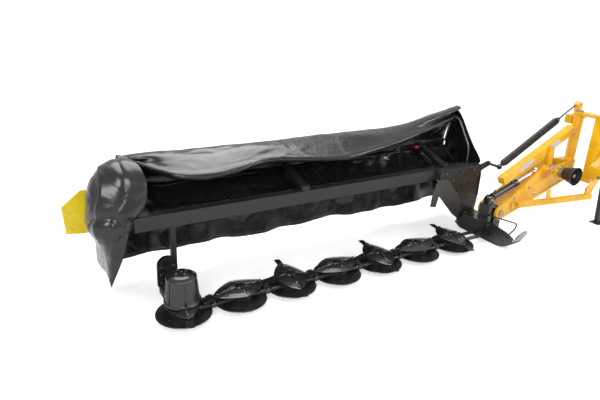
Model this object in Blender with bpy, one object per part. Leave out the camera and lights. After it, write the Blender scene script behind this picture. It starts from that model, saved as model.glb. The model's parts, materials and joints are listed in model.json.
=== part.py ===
"""Rear-mounted disc mower: seven-disc cutterbar, curtain frame, swing arm and three-point headstock.

Metres, +Z up. The bar lies along X with its outer end at -X and the tractor side at +X.
The machine works towards -Y. The finished model stands on the ground with its origin
under the centre of its bounding box.
"""
import math

import bmesh
import bpy
from mathutils import Matrix, Vector

# ---------------------------------------------------------------- clearances
SEAT = 0.0003            # gap between two pieces that rest on each other
RUN = 0.0008             # gap round a pin or shaft that turns
PASS = 0.006             # gap between a moving piece and what it passes

# ---------------------------------------------------------------- cutterbar
DISC_COUNT = 7
DISC_PITCH = 0.400
TIMING_TILT = math.radians(7.5)   # how far the discs are turned from square at rest
SKID_RADIUS = 0.183
SKID_FLAT = 0.115
SKID_RIM_Z = 0.040
SKID_WALL = 0.006
SKID_HOLE = 0.022
SKID_FORWARD = 0.020     # the skids sit this far in front of the disc shafts
HOUSING_RADIUS = 0.090
HOUSING_TOP = 0.072
TIE_TUBE_RADIUS = 0.015
TIE_TUBE_SPREAD = 0.090  # between the two tubes that tie the housings together
DISC_LONG = 0.205        # half length of a disc's dome
DISC_WIDE = 0.122        # half width of a disc's dome
DISC_SQUARENESS = 1.35   # 1 is a rhombus, 2 an ellipse
DISC_RIM_Z = 0.0995
DISC_DOME = 0.022
HUB_RADIUS = 0.040
HUB_NUT_TOP = 0.137
KNIFE_TIP_RADIUS = 0.285
KNIFE_WIDTH = 0.046
KNIFE_THICKNESS = 0.005
DRUM_BASE_RADIUS = 0.121
DRUM_TOP_RADIUS = 0.098
DRUM_TOP_Z = 0.322
DRUM_SIDES = 12

# ---------------------------------------------------------------- guard frame
SPINE_FRONT_Y = 0.300
SPINE_DEPTH = 0.080
SPINE_HEIGHT = 0.100
SPINE_TOP_Z = 0.610
SPINE_OUTER_X = -1.400
CROSS_ARM_X = (-0.110, 1.335)
CROSS_ARM_WIDTH = 0.060
CROSS_ARM_DEPTH = 0.034
RAIL_Y = 0.700
RAIL_Z = 0.745
RAIL_RADIUS = 0.012
RAIL_OUTER_X = -1.560
RAIL_INNER_X = 1.640
COLLAR_RADIUS = 0.020    # of the cross arms round the rail
HOOP_ROD_RADIUS = 0.008

# ---------------------------------------------------------------- curtains
CLOTH = 0.012            # plain thickness of a curtain
CURTAIN_OUTER_X = -1.600
CURTAIN_INNER_X = 1.700
CURTAIN_HEM_Z = 0.160
RIDGE_Y = 0.610
RIDGE_Z = 0.950
RIDGE_PEAK_Z = 1.090
FLAP_EDGE_Y = 0.380
FLAP_EDGE_Z = 0.865
PEAK_START_X = 0.800     # the folded flap starts to rise to its peak here

# ---------------------------------------------------------------- inner end
PIVOT_X = 1.655
PIVOT_Z = 0.275
PIVOT_PIN_RADIUS = 0.020
EAR_RADIUS = 0.062
FRONT_EAR_Y = (-0.115, -0.090)
REAR_EAR_Y = (0.030, 0.085)
LUG_X = 1.575            # foot pin of the lift cylinder
LUG_Z = 0.395
CYLINDER_Y = -0.030
SHOE_X = (1.590, 1.690)
SHOE_REAR_Y = 0.330
SHOE_NOSE_Y = -0.400
SHOE_NOSE_Z = 0.215

# ---------------------------------------------------------------- swing arm and headstock
ARM_HINGE_X = 2.640
ARM_HINGE_Y = -0.015
ARM_HINGE_PIN = 0.022
BOSS_RADIUS = 0.045
BOSS_Z = (0.500, 1.060)
UPPER_TUBE_START = (1.690, 0.545)
UPPER_TUBE_END_Z = 0.960
UPPER_TUBE_SIDE = 0.070
ANCHOR_X = 2.160         # rod pin of the lift cylinder
ANCHOR_Z = 0.585
PULLEY_X = 2.400
PULLEY_Z = 0.560
PULLEY_RADIUS = 0.120
SPRING_Y = 0.130
SPRING_RADIUS = 0.034
SPRING_FOOT = (1.830, 0.610)
SPRING_HEAD = (2.540, 0.985)
MAST_CENTRE_X = 2.960
HITCH_PIN_Y = -0.450
HITCH_PIN_Z = 0.600
HITCH_PIN_SPREAD = 0.825
HITCH_PIN_RADIUS = 0.014
HITCH_PIN_LENGTH = 0.120
TOP_LINK_Z = 1.210
BEAM_SIDE = 0.080
BEAM_Y = -0.300
STAND_X = 2.960
STAND_SIDE = 0.050

# ---------------------------------------------------------------- paint and metal
PAINTS = {
    "black_gloss": ((0.012, 0.012, 0.014), 0.28, 0.0),
    "black_satin": ((0.020, 0.020, 0.022), 0.45, 0.0),
    "yellow": ((0.90, 0.58, 0.02), 0.35, 0.0),
    "red": ((0.60, 0.02, 0.02), 0.30, 0.0),
    "vinyl": ((0.015, 0.015, 0.017), 0.30, 0.0),
    "steel": ((0.35, 0.35, 0.36), 0.40, 1.0),
    "chrome": ((0.75, 0.75, 0.77), 0.12, 1.0),
    "spring_black": ((0.03, 0.03, 0.032), 0.40, 0.6),
}


def paint(obj, look):
    """Give the object a material of its own with one of the looks above."""
    colour, roughness, metallic = PAINTS[look]
    mat = bpy.data.materials.new(obj.name + "_" + look)
    mat.use_nodes = True
    shader = mat.node_tree.nodes["Principled BSDF"]
    shader.inputs["Base Color"].default_value = (*colour, 1.0)
    shader.inputs["Roughness"].default_value = roughness
    shader.inputs["Metallic"].default_value = metallic
    obj.data.materials.clear()
    obj.data.materials.append(mat)


# ---------------------------------------------------------------- shapes
def keep(name, bm):
    """Turn a bmesh into an object in the scene."""
    bmesh.ops.recalc_face_normals(bm, faces=bm.faces)
    mesh = bpy.data.meshes.new(name)
    bm.to_mesh(mesh)
    bm.free()
    obj = bpy.data.objects.new(name, mesh)
    bpy.context.scene.collection.objects.link(obj)
    return obj


def smooth(obj, degrees=40):
    """Shade round faces smooth and keep the edges sharper than the angle."""
    obj.data.shade_smooth()
    obj.data.set_sharp_from_angle(angle=math.radians(degrees))


def box(low, high):
    """A block between two corners."""
    bm = bmesh.new()
    bmesh.ops.create_cube(bm, size=1.0)
    for vert in bm.verts:
        vert.co = Vector([low[i] + (vert.co[i] + 0.5) * (high[i] - low[i]) for i in range(3)])
    return keep("block", bm)


def prism(outline, axis, low, high):
    """A flat outline pushed along an axis. The outline gives the other two coordinates in X, Y, Z order."""
    bm = bmesh.new()
    ends = []
    for level in (low, high):
        ring = []
        for first, second in outline:
            spot = [first, second]
            spot.insert(axis, level)
            ring.append(bm.verts.new(spot))
        ends.append(ring)
    bm.faces.new(ends[0])
    bm.faces.new(ends[1])
    count = len(outline)
    for i in range(count):
        j = (i + 1) % count
        bm.faces.new((ends[0][i], ends[0][j], ends[1][j], ends[1][i]))
    return keep("prism", bm)


def arc(centre, radius, start, end, steps):
    """Points on an arc in a plane, angles in degrees."""
    turns = [math.radians(start + (end - start) * i / steps) for i in range(steps + 1)]
    return [(centre[0] + radius * math.cos(t), centre[1] + radius * math.sin(t)) for t in turns]


def link(first, first_radius, second, second_radius, steps=8):
    """Outline of a flat link with round ends of two sizes."""
    way = math.degrees(math.atan2(second[1] - first[1], second[0] - first[0]))
    reach = math.dist(first, second)
    lean = math.degrees(math.acos((first_radius - second_radius) / reach))
    near = arc(first, first_radius, way + lean, way + 360 - lean, steps)
    far = arc(second, second_radius, way - lean, way + lean, steps)
    return near + far


def rod(start, end, radius, sides=16):
    """A straight round bar."""
    start, end = Vector(start), Vector(end)
    run = end - start
    bm = bmesh.new()
    turn = run.to_track_quat("Z", "Y").to_matrix().to_4x4()
    place = Matrix.Translation((start + end) / 2) @ turn
    bmesh.ops.create_cone(bm, cap_ends=True, segments=sides, radius1=radius, radius2=radius,
                          depth=run.length, matrix=place)
    return keep("rod", bm)


def beam(start, end, wide, deep, up=(0, 0, 1)):
    """A straight rectangular bar: wide is across, deep is along the up direction."""
    start, end = Vector(start), Vector(end)
    run = (end - start).normalized()
    side = run.cross(Vector(up)).normalized()
    rise = side.cross(run)
    bm = bmesh.new()
    ends = []
    for spot in (start, end):
        corners = ((-1, -1), (1, -1), (1, 1), (-1, 1))
        spots = [spot + side * (a * wide / 2) + rise * (b * deep / 2) for a, b in corners]
        ends.append([bm.verts.new(corner) for corner in spots])
    bm.faces.new(ends[0])
    bm.faces.new(ends[1])
    for i in range(4):
        j = (i + 1) % 4
        bm.faces.new((ends[0][i], ends[0][j], ends[1][j], ends[1][i]))
    return keep("beam", bm)


def lathe(profile, centre, sides=32):
    """Turn a profile of (radius, height) points about a vertical axis."""
    bm = bmesh.new()
    rings = []
    for radius, height in profile:
        if radius < 1e-6:
            rings.append([bm.verts.new((centre[0], centre[1], height))])
            continue
        ring = []
        for i in range(sides):
            turn = 2 * math.pi * i / sides
            spot = (centre[0] + radius * math.cos(turn), centre[1] + radius * math.sin(turn), height)
            ring.append(bm.verts.new(spot))
        rings.append(ring)
    hollow = profile[0][0] > 1e-6
    pairs = list(zip(rings, rings[1:]))
    if hollow:
        pairs.append((rings[-1], rings[0]))
    for lower, upper in pairs:
        for i in range(sides):
            j = (i + 1) % sides
            if len(lower) == 1:
                bm.faces.new((lower[0], upper[i], upper[j]))
            elif len(upper) == 1:
                bm.faces.new((lower[i], lower[j], upper[0]))
            else:
                bm.faces.new((lower[i], lower[j], upper[j], upper[i]))
    return keep("turned", bm)


def wire(points, radius, sides=2):
    """A bent round rod through the points, with closed ends."""
    curve = bpy.data.curves.new("wire", "CURVE")
    curve.dimensions = "3D"
    curve.bevel_depth = radius
    curve.bevel_resolution = sides
    curve.use_fill_caps = True
    spline = curve.splines.new("POLY")
    spline.points.add(len(points) - 1)
    for spot, point in zip(spline.points, points):
        spot.co = (*point, 1.0)
    holder = bpy.data.objects.new("wire", curve)
    bpy.context.scene.collection.objects.link(holder)
    bpy.context.view_layer.update()
    mesh = bpy.data.meshes.new_from_object(holder.evaluated_get(bpy.context.evaluated_depsgraph_get()))
    bpy.data.objects.remove(holder)
    bm = bmesh.new()
    bm.from_mesh(mesh)
    bmesh.ops.remove_doubles(bm, verts=bm.verts, dist=1e-6)
    return keep("wire", bm)


def rounded(points, bend, steps=5):
    """A route of straight runs with a round bend at each corner, by quadratic blends."""
    spots = [Vector(p) for p in points]
    route = [spots[0]]
    for before, corner, after in zip(spots, spots[1:], spots[2:]):
        reach = min(bend, (before - corner).length / 2, (after - corner).length / 2)
        first = corner + (before - corner).normalized() * reach
        last = corner + (after - corner).normalized() * reach
        for i in range(steps + 1):
            t = i / steps
            route.append(first * (1 - t) ** 2 + corner * (2 * t * (1 - t)) + last * t ** 2)
    route.append(spots[-1])
    return route


def combine(target, tools, operation):
    """Apply one Boolean per tool to the target, then remove the tools."""
    for tool in tools:
        cut = target.modifiers.new(operation.lower(), "BOOLEAN")
        cut.operation = operation
        cut.solver = "EXACT"
        cut.object = tool
        bpy.context.view_layer.update()
        result = target.evaluated_get(bpy.context.evaluated_depsgraph_get())
        mesh = bpy.data.meshes.new_from_object(result)
        target.modifiers.clear()
        target.data = mesh
        bpy.data.objects.remove(tool)
    return target


def node(name, look, pieces, holes=(), round_shade=True):
    """Join the pieces into one body, cut the holes, and give it its name and material."""
    body = combine(pieces[0], pieces[1:], "UNION")
    combine(body, holes, "DIFFERENCE")
    body.name = name
    body.data.name = name
    paint(body, look)
    if round_shade:
        smooth(body)
    return body


def axis_empty(name, spot, parent=None):
    """An empty on a joint's axis, for the moving pieces to hang from."""
    empty = bpy.data.objects.new(name, None)
    empty.empty_display_size = 0.15
    empty.location = spot
    bpy.context.scene.collection.objects.link(empty)
    if parent:
        hang([empty], parent)
    bpy.context.view_layer.update()
    return empty


def hang(objects, parent):
    """Parent objects without moving them."""
    bpy.context.view_layer.update()
    for obj in objects:
        obj.parent = parent
        obj.matrix_parent_inverse = parent.matrix_world.inverted()


def set_origin(obj, spot):
    """Put an object's origin at a place on its joint's axis."""
    obj.data.transform(Matrix.Translation(-Vector(spot)))
    obj.location = spot


# ---------------------------------------------------------------- cutterbar
def disc_x(index):
    """Shaft position of a disc, counted from the outer end."""
    return (index - (DISC_COUNT - 1) / 2) * DISC_PITCH


BED_OUTER_X = disc_x(0)
BED_END_X = PIVOT_X - 0.125      # outer wall of the inner drive housing
BRACKET_X = (BED_OUTER_X - 0.060, BED_OUTER_X + 0.060)
UPRIGHT_Y = SPINE_FRONT_Y + 0.025
TIE_Z = SKID_RIM_Z + TIE_TUBE_RADIUS + 0.001
FLOOR_Z = SKID_WALL + SEAT       # what stands in the skids starts here


def cutter_bed():
    """Round gear housings on twin tie tubes, with the outer bracket and its runner."""
    pieces = []
    for index in range(DISC_COUNT):
        profile = [(0, FLOOR_Z), (HOUSING_RADIUS, FLOOR_Z), (HOUSING_RADIUS, HOUSING_TOP - 0.012),
                   (HOUSING_RADIUS - 0.016, HOUSING_TOP), (0, HOUSING_TOP)]
        pieces.append(lathe(profile, (disc_x(index), 0), 20))
    for side in (-1, 1):
        y = side * TIE_TUBE_SPREAD / 2
        pieces.append(rod((BED_OUTER_X, y, TIE_Z), (BED_END_X - SEAT, y, TIE_Z), TIE_TUBE_RADIUS, 10))
    low = SKID_RIM_Z + 0.004
    rear = UPRIGHT_Y + 0.035
    pieces.append(box((BRACKET_X[0], 0.040, low), (BRACKET_X[1], rear, low + 0.020)))
    front = rear - 0.150
    runner = [(front, low + 0.005), (front, 0.022), (front + 0.025, 0), (rear, 0), (rear, low + 0.005)]
    pieces.append(prism(runner, 0, BRACKET_X[0] + 0.005, BRACKET_X[1] - 0.005))
    return node("cutter_bed", "black_satin", pieces)


def skid_shoe(index):
    """Dished skid under one disc, with a drain hole."""
    profile = [(SKID_HOLE, 0), (SKID_FLAT, 0), (SKID_RADIUS, SKID_RIM_Z - SKID_WALL),
               (SKID_RADIUS, SKID_RIM_Z),
               (SKID_FLAT - 0.003, SKID_WALL), (SKID_HOLE, SKID_WALL)]
    centre = (disc_x(index), -SKID_FORWARD)
    return node("skid_shoe_%d" % (index + 1), "black_satin", [lathe(profile, centre, 24)])


def dome(levels=4, sides=28):
    """Long rhombic dome of a disc about the vertical axis, with its long axis along X."""
    bm = bmesh.new()
    rings = []
    for level in range(levels):
        share = math.cos(math.pi / 2 * level / levels)
        height = DISC_RIM_Z + 0.003 + DISC_DOME * (1 - share ** 2)
        ring = []
        for i in range(sides):
            turn = 2 * math.pi * i / sides
            run, rise = math.cos(turn), math.sin(turn)
            power = DISC_SQUARENESS
            reach = (abs(run / DISC_LONG) ** power + abs(rise / DISC_WIDE) ** power) ** (-1 / power)
            ring.append(bm.verts.new((run * reach * share, rise * reach * share, height)))
        rings.append(ring)
    rings.insert(0, [bm.verts.new((v.co.x, v.co.y, DISC_RIM_Z)) for v in rings[0]])
    for lower, upper in zip(rings, rings[1:]):
        for i in range(sides):
            j = (i + 1) % sides
            bm.faces.new((lower[i], lower[j], upper[j], upper[i]))
    bm.faces.new(rings[0])
    bm.faces.new(rings[-1])
    return keep("dome", bm)


def knife(side):
    """One knife with its seat under the disc's long end."""
    reach = math.sqrt(KNIFE_TIP_RADIUS ** 2 - (KNIFE_WIDTH / 2) ** 2)
    low = DISC_RIM_Z - PASS - KNIFE_THICKNESS
    start = DISC_LONG - 0.060
    half = KNIFE_WIDTH / 2
    blade = [(start, -half), (reach - 0.012, -half), (reach, -half + 0.014), (reach, half), (start, half)]
    outline = [(side * x, side * y) for x, y in blade]
    return prism(outline, 2, low, low + KNIFE_THICKNESS)


def knife_seat(side):
    """Round pad that holds a knife's bolt."""
    low = DISC_RIM_Z - PASS - KNIFE_THICKNESS / 2
    spot = side * (DISC_LONG - 0.035)
    return rod((spot, 0, low), (spot, 0, DISC_RIM_Z + 0.010), 0.014, 8)


def drum():
    """Tall tapered drum that stands on the outer disc."""
    foot = DISC_RIM_Z + DISC_DOME - 0.004
    profile = [(0, foot), (DRUM_BASE_RADIUS, foot), (DRUM_BASE_RADIUS, foot + 0.014),
               (DRUM_BASE_RADIUS - 0.008, foot + 0.018), (DRUM_TOP_RADIUS, DRUM_TOP_Z - 0.030),
               (DRUM_TOP_RADIUS - 0.022, DRUM_TOP_Z - 0.010), (0.040, DRUM_TOP_Z), (0, DRUM_TOP_Z)]
    return lathe(profile, (0, 0), DRUM_SIDES * 2)


def rotor(index):
    """Disc with its hub, nut and two knives; the outer one carries the drum."""
    neck = lathe([(0, HOUSING_TOP + RUN), (0.045, HOUSING_TOP + RUN), (0.045, DISC_RIM_Z + 0.004),
                  (0, DISC_RIM_Z + 0.004)], (0, 0), 14)
    pieces = [dome(), neck]
    for side in (-1, 1):
        pieces += [knife(side), knife_seat(side)]
    if index == 0:
        pieces.append(drum())
    else:
        crown = DISC_RIM_Z + DISC_DOME - 0.004
        pieces.append(lathe([(0, crown), (HUB_RADIUS, crown), (HUB_RADIUS - 0.006, crown + 0.010),
                             (0, crown + 0.010)], (0, 0), 16))
        pieces.append(rod((0, 0, crown), (0, 0, HUB_NUT_TOP), 0.017, 6))
    body = node("disc_%d" % (index + 1), "black_gloss", pieces)
    square = math.pi / 2 - TIMING_TILT if index % 2 == 0 else TIMING_TILT
    body.data.transform(Matrix.Rotation(square, 4, "Z"))
    body.location = (disc_x(index), 0, 0)
    return body


def outer_upright():
    """Round-topped plate that stands at the bar's outer end."""
    foot = SKID_RIM_Z + 0.024 + SEAT
    middle = BED_OUTER_X
    half = (BRACKET_X[1] - BRACKET_X[0]) / 2 + 0.010
    top = DRUM_TOP_Z - 0.035 - half
    outline = [(middle - half, foot), (middle + half, foot)] + arc((middle, top), half, 0, 180, 12)
    return node("outer_upright", "black_gloss", [prism(outline, 1, UPRIGHT_Y, UPRIGHT_Y + 0.018)])


def outer_post():
    """Square post from the upright up to the spine."""
    front = UPRIGHT_Y + 0.018 + SEAT
    x = BED_OUTER_X + 0.070
    post = box((x - 0.030, front, 0.110), (x + 0.010, front + 0.032, SPINE_TOP_Z - SPINE_HEIGHT - SEAT))
    return node("outer_post", "black_satin", [post])


# ---------------------------------------------------------------- inner end of the bar
GUSSET_Y = (SPINE_FRONT_Y - 0.055, SPINE_FRONT_Y - SEAT)
BLOCK_Y = (FRONT_EAR_Y[1] + PASS, REAR_EAR_Y[0] - PASS)
GUARD_SMALL_RADIUS = EAR_RADIUS + 0.010
COLUMN_X = (BED_END_X, PIVOT_X - GUARD_SMALL_RADIUS - 0.009)
BASE_TOP_Z = PIVOT_Z - GUARD_SMALL_RADIUS - 0.018
BASE_LOW_Z = 0.048
LUG_HALF = 0.018         # half of the space between the cylinder's lugs


def drive_housing():
    """Gear case that joins the bed to the fold pivot and to the gusset."""
    rear = GUSSET_Y[0] - SEAT
    base = box((BED_END_X, BLOCK_Y[0], BASE_LOW_Z), (PIVOT_X + 0.045, rear, BASE_TOP_Z))
    column = box((COLUMN_X[0], BLOCK_Y[0], BASE_TOP_Z - 0.020), (COLUMN_X[1], BLOCK_Y[1], LUG_Z - 0.045))
    boss = rod((PIVOT_X, BLOCK_Y[0], PIVOT_Z), (PIVOT_X, BLOCK_Y[1], PIVOT_Z), EAR_RADIUS - 0.006, 24)
    web = box((PIVOT_X - 0.045, BLOCK_Y[0], BASE_TOP_Z - 0.020), (PIVOT_X + 0.045, BLOCK_Y[1], PIVOT_Z))
    pieces = [base, column, boss, web]
    for side in (-1, 1):
        outline = [(COLUMN_X[0] + 0.004, LUG_Z - 0.070), (COLUMN_X[1] - 0.003, LUG_Z - 0.070)]
        outline += arc((LUG_X, LUG_Z), 0.032, -20, 170, 10)
        near = CYLINDER_Y + side * LUG_HALF
        far = near + side * 0.012
        pieces.append(prism(outline, 1, min(near, far), max(near, far)))
    bore = rod((PIVOT_X, -0.3, PIVOT_Z), (PIVOT_X, 0.2, PIVOT_Z), PIVOT_PIN_RADIUS + RUN, 24)
    lug_bore = rod((LUG_X, -0.2, LUG_Z), (LUG_X, 0.1, LUG_Z), 0.0125, 16)
    return node("drive_housing", "black_gloss", pieces, [bore, lug_bore])


def inner_gusset():
    """Deep plate box with a hollow-cut lower edge that carries the spine's inner end."""
    low, high = BASE_LOW_Z + 0.020, SPINE_TOP_Z + 0.010
    inner = CURTAIN_INNER_X + 0.045
    hollow = arc((1.270, 0.150), 0.300, 80, 8, 9)
    outline = [(1.230, SPINE_TOP_Z - SPINE_HEIGHT + 0.010)] + hollow
    outline += [(BED_END_X + 0.040, low), (PIVOT_X + 0.060, low), (inner, PIVOT_Z), (inner, high - 0.030),
                (inner - 0.030, high), (1.260, high), (1.230, high - 0.030)]
    plate = prism(outline, 1, *GUSSET_Y)
    foot_x, foot_z = SPRING_FOOT
    lug = link((inner - 0.040, high - 0.050), 0.028, (foot_x, foot_z), 0.024)
    arm = prism(lug, 1, GUSSET_Y[0], GUSSET_Y[0] + 0.020)
    pin = rod((foot_x, SPRING_Y - 0.022, foot_z), (foot_x, GUSSET_Y[0] + 0.005, foot_z), 0.0125, 16)
    return node("inner_gusset", "black_satin", [plate, arm, pin])


def shoe_curve(steps=9):
    """Side view of the inner shoe's running face, from the rear to the foot of the nose, as (y, z)."""
    bend = arc((SHOE_NOSE_Y + 0.250, 0.230), 0.230, -90, -145, steps)
    return [(SHOE_REAR_Y, 0.034), (SHOE_REAR_Y - 0.070, 0.0)] + bend


def inner_shoe():
    """Curved runner with an upright side plate."""
    lower = shoe_curve()
    wall = 0.010
    upper = [(y, z + wall) for y, z in reversed(lower)]
    runner = prism(lower + upper, 0, *SHOE_X)
    top = BASE_LOW_Z - SEAT
    front = BLOCK_Y[0] - SEAT
    nose_y, nose_z = lower[-1]
    side = [(SHOE_REAR_Y - 0.030, top), (front, top), (front, BASE_TOP_Z),
            (nose_y + 0.080, BASE_TOP_Z - 0.030),
            (nose_y + 0.012, nose_z + 0.030)]
    side += [(y, z + wall / 2) for y, z in reversed(lower[1:-1])]
    plate = prism(side, 0, SHOE_X[0], SHOE_X[0] + 0.010)
    return node("inner_shoe", "steel", [runner, plate])


def shoe_nose():
    """Light upturned tip in front of the shoe."""
    start_y, start_z = shoe_curve()[-1]
    wall = 0.010
    run = Vector((SHOE_NOSE_Y - start_y, SHOE_NOSE_Z - start_z)).normalized()
    begin = Vector((start_y, start_z)) + run * (wall * 0.85 + SEAT * 2)
    bm = bmesh.new()
    middle = (SHOE_X[0] + SHOE_X[1]) / 2
    half = (SHOE_X[1] - SHOE_X[0]) / 2
    length = (Vector((SHOE_NOSE_Y, SHOE_NOSE_Z)) - begin).length
    outline = [(-half, 0.0), (half, 0.0)]
    outline += [(half * math.cos(t), length - half + half * math.sin(t))
                for t in [math.pi * i / 10 for i in range(11)]]
    lift = Vector((run.y, -run.x))
    levels = []
    for raised in (0.0, wall):
        ring = []
        for across, along in outline:
            spot = begin + run * along + lift * raised
            ring.append(bm.verts.new((middle + across, spot.x, spot.y)))
        levels.append(ring)
    bm.faces.new(levels[0])
    bm.faces.new(levels[1])
    for i in range(len(outline)):
        j = (i + 1) % len(outline)
        bm.faces.new((levels[0][i], levels[0][j], levels[1][j], levels[1][i]))
    return node("shoe_nose", "steel", [keep("nose", bm)])


def guard_loop():
    """Bent rod from the housing over the front of the shoe."""
    x = COLUMN_X[0] + 0.018
    height = PIVOT_Z - 0.010
    start = (x, BLOCK_Y[0] - SEAT, height)
    tip_y, tip_z = shoe_curve()[-1]
    foot = (SHOE_X[0] + 0.005, tip_y + 0.060, tip_z + 0.052)
    level = (x, BLOCK_Y[0] - 0.040, height)
    crest = (x, SHOE_NOSE_Y + 0.030, height + 0.030)
    bend = (x + 0.012, SHOE_NOSE_Y + 0.050, height - 0.030)
    points = [start, level, crest, bend, foot]
    return node("guard_loop", "black_satin", [wire(rounded(points, 0.030), 0.006)])


def inner_shield():
    """Flat deflector that hangs under the spine's inner end."""
    rear = GUSSET_Y[0] - SEAT
    inner = BED_END_X - PASS
    outline = [(1.150, 0.290), (1.215, 0.275), (1.240, 0.375), (1.440, 0.170), (inner, 0.110)]
    outline += [(inner, 0.300), (1.330, 0.520), (1.250, 0.535), (1.190, 0.500), (1.160, 0.400)]
    return node("inner_shield", "black_satin", [prism(outline, 1, rear - 0.006, rear)])


# ---------------------------------------------------------------- guard frame
def spine():
    """Long rectangular tube above and behind the discs."""
    low = (SPINE_OUTER_X, SPINE_FRONT_Y, SPINE_TOP_Z - SPINE_HEIGHT)
    high = (CURTAIN_INNER_X - 0.010, SPINE_FRONT_Y + SPINE_DEPTH, SPINE_TOP_Z)
    return node("spine", "black_satin", [box(low, high)])


def cross_arm(name, x):
    """Flat arm from the spine's top back to the rear rail."""
    foot_y = SPINE_FRONT_Y + 0.006
    rise = CROSS_ARM_DEPTH / 2
    half = CROSS_ARM_WIDTH / 2
    top_y = RAIL_Y - RAIL_RADIUS - 0.004
    sole = SPINE_TOP_Z + SEAT
    outline = [(foot_y, sole), (foot_y + 0.070, sole), (top_y, RAIL_Z - rise), (top_y, RAIL_Z + rise),
               (foot_y + 0.060, sole + 0.042), (foot_y, sole + 0.036)]
    strip = prism(outline, 0, x - half, x + half)
    collar = rod((x - 0.018, RAIL_Y, RAIL_Z), (x + 0.018, RAIL_Y, RAIL_Z), COLLAR_RADIUS, 16)
    bore = rod((x - 0.1, RAIL_Y, RAIL_Z), (x + 0.1, RAIL_Y, RAIL_Z), RAIL_RADIUS + SEAT, 16)
    return node(name, "black_satin", [strip, collar], [bore])


def rear_rail():
    """Round rail along the top of the rear curtain."""
    rail = rod((RAIL_OUTER_X, RAIL_Y, RAIL_Z), (RAIL_INNER_X, RAIL_Y, RAIL_Z), RAIL_RADIUS, 16)
    return node("rear_rail", "black_satin", [rail])


def inner_hoop():
    """Bent rod that holds up the curtain's inner corner."""
    x = RAIL_INNER_X - 0.030
    foot_x, foot_y = x + 0.030, SPINE_FRONT_Y + SPINE_DEPTH / 2
    crown = RIDGE_PEAK_Z - 0.090
    points = [(x, RAIL_Y - RAIL_RADIUS - SEAT, RAIL_Z), (x, RIDGE_Y + 0.010, RAIL_Z + 0.010),
              (x + 0.010, RIDGE_Y - 0.030, crown), (x + 0.020, RIDGE_Y - 0.110, crown),
              (foot_x, foot_y, SPINE_TOP_Z + 0.150), (foot_x, foot_y, SPINE_TOP_Z + SEAT)]
    return node("inner_hoop", "steel", [wire(rounded(points, 0.050), HOOP_ROD_RADIUS)])


def marker_board():
    """Plain board behind the outer end, on a short bracket round the rail."""
    y = RAIL_Y + RAIL_RADIUS + CLOTH
    outline = [(-1.500, 0.700), (-1.655, 0.705), (-1.785, 0.600)]
    outline += [(-1.775, 0.400), (-1.665, 0.385), (-1.500, 0.385)]
    board = prism(outline, 1, y, y + 0.004)
    x = RAIL_OUTER_X + 0.020
    reach = COLLAR_RADIUS - 0.001
    outline = [(RAIL_Y - reach, RAIL_Z - reach), (y - 0.006, RAIL_Z - reach), (y - 0.006, RAIL_Z - 0.090),
               (y + 0.003, RAIL_Z - 0.090), (y + 0.003, RAIL_Z + reach), (RAIL_Y - reach, RAIL_Z + reach)]
    bracket = prism(outline, 0, x - 0.010, x + 0.010)
    bore = rod((x - 0.1, RAIL_Y, RAIL_Z), (x + 0.1, RAIL_Y, RAIL_Z), RAIL_RADIUS + SEAT, 16)
    return node("marker_board", "yellow", [board, bracket], [bore])


def red_knob():
    """Ball grip of the curtain's catch, on the inner cross arm."""
    x = CROSS_ARM_X[1] - CROSS_ARM_WIDTH / 2 - SEAT
    y = RAIL_Y - 0.060
    z = RAIL_Z - 0.020
    stem = rod((x - 0.022, y, z), (x, y, z), 0.006, 12)
    ball = [(0.020 * math.sin(math.pi * i / 8), z - 0.020 * math.cos(math.pi * i / 8)) for i in range(9)]
    grip = lathe(ball, (x - 0.030, y), 16)
    return node("red_knob", "red", [grip, stem])


# ---------------------------------------------------------------- curtains, plain solids
def sheet(name, stations, wall):
    """A cloth strip through stations along X; each is (x, points in y and z)."""
    bm = bmesh.new()
    skins = []
    for lift in (0, -wall):
        grid = []
        for x, points in stations:
            row = []
            for i, (y, z) in enumerate(points):
                before = points[max(i - 1, 0)]
                after = points[min(i + 1, len(points) - 1)]
                run = Vector((after[0] - before[0], after[1] - before[1])).normalized()
                row.append(bm.verts.new((x, y - run.y * lift, z + run.x * lift)))
            grid.append(row)
        skins.append(grid)
    rows, cols = len(stations), len(stations[0][1])
    for grid in skins:
        for i in range(rows - 1):
            for j in range(cols - 1):
                bm.faces.new((grid[i][j], grid[i + 1][j], grid[i + 1][j + 1], grid[i][j + 1]))
    rim = [(i, 0) for i in range(rows)] + [(rows - 1, j) for j in range(1, cols)]
    rim += [(i, cols - 1) for i in range(rows - 2, -1, -1)] + [(0, j) for j in range(cols - 2, 0, -1)]
    top, under = skins
    for (a, b), (c, d) in zip(rim, rim[1:] + rim[:1]):
        bm.faces.new((top[a][b], top[c][d], under[c][d], under[a][b]))
    return node(name, "vinyl", [keep(name, bm)])


def ridge_height(x):
    """The folded flap rises to a peak at the inner end."""
    share = max(0.0, (x - PEAK_START_X) / (CURTAIN_INNER_X - PEAK_START_X))
    return RIDGE_Z + (RIDGE_PEAK_Z - RIDGE_Z) * share ** 1.4


def folded_flap():
    """Front curtain folded back over the frame: up from the rail to the ridge, then forward."""
    stations = []
    ends = (SPINE_OUTER_X, CURTAIN_INNER_X)
    for i in range(13):
        x = ends[0] + (ends[1] - ends[0]) * i / 12
        top = ridge_height(x)
        edge = FLAP_EDGE_Z + (top - RIDGE_Z) * 0.9
        points = [(RAIL_Y + 0.006, RAIL_Z + COLLAR_RADIUS + CLOTH / 3 + SEAT),
                  (RIDGE_Y + 0.060, (RAIL_Z + top) / 2),
                  (RIDGE_Y + 0.025, top - 0.030), (RIDGE_Y - 0.010, top), (RIDGE_Y - 0.080, top - 0.012),
                  (FLAP_EDGE_Y, edge)]
        stations.append((x, points))
    return sheet("folded_flap", stations, -CLOTH)


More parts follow.
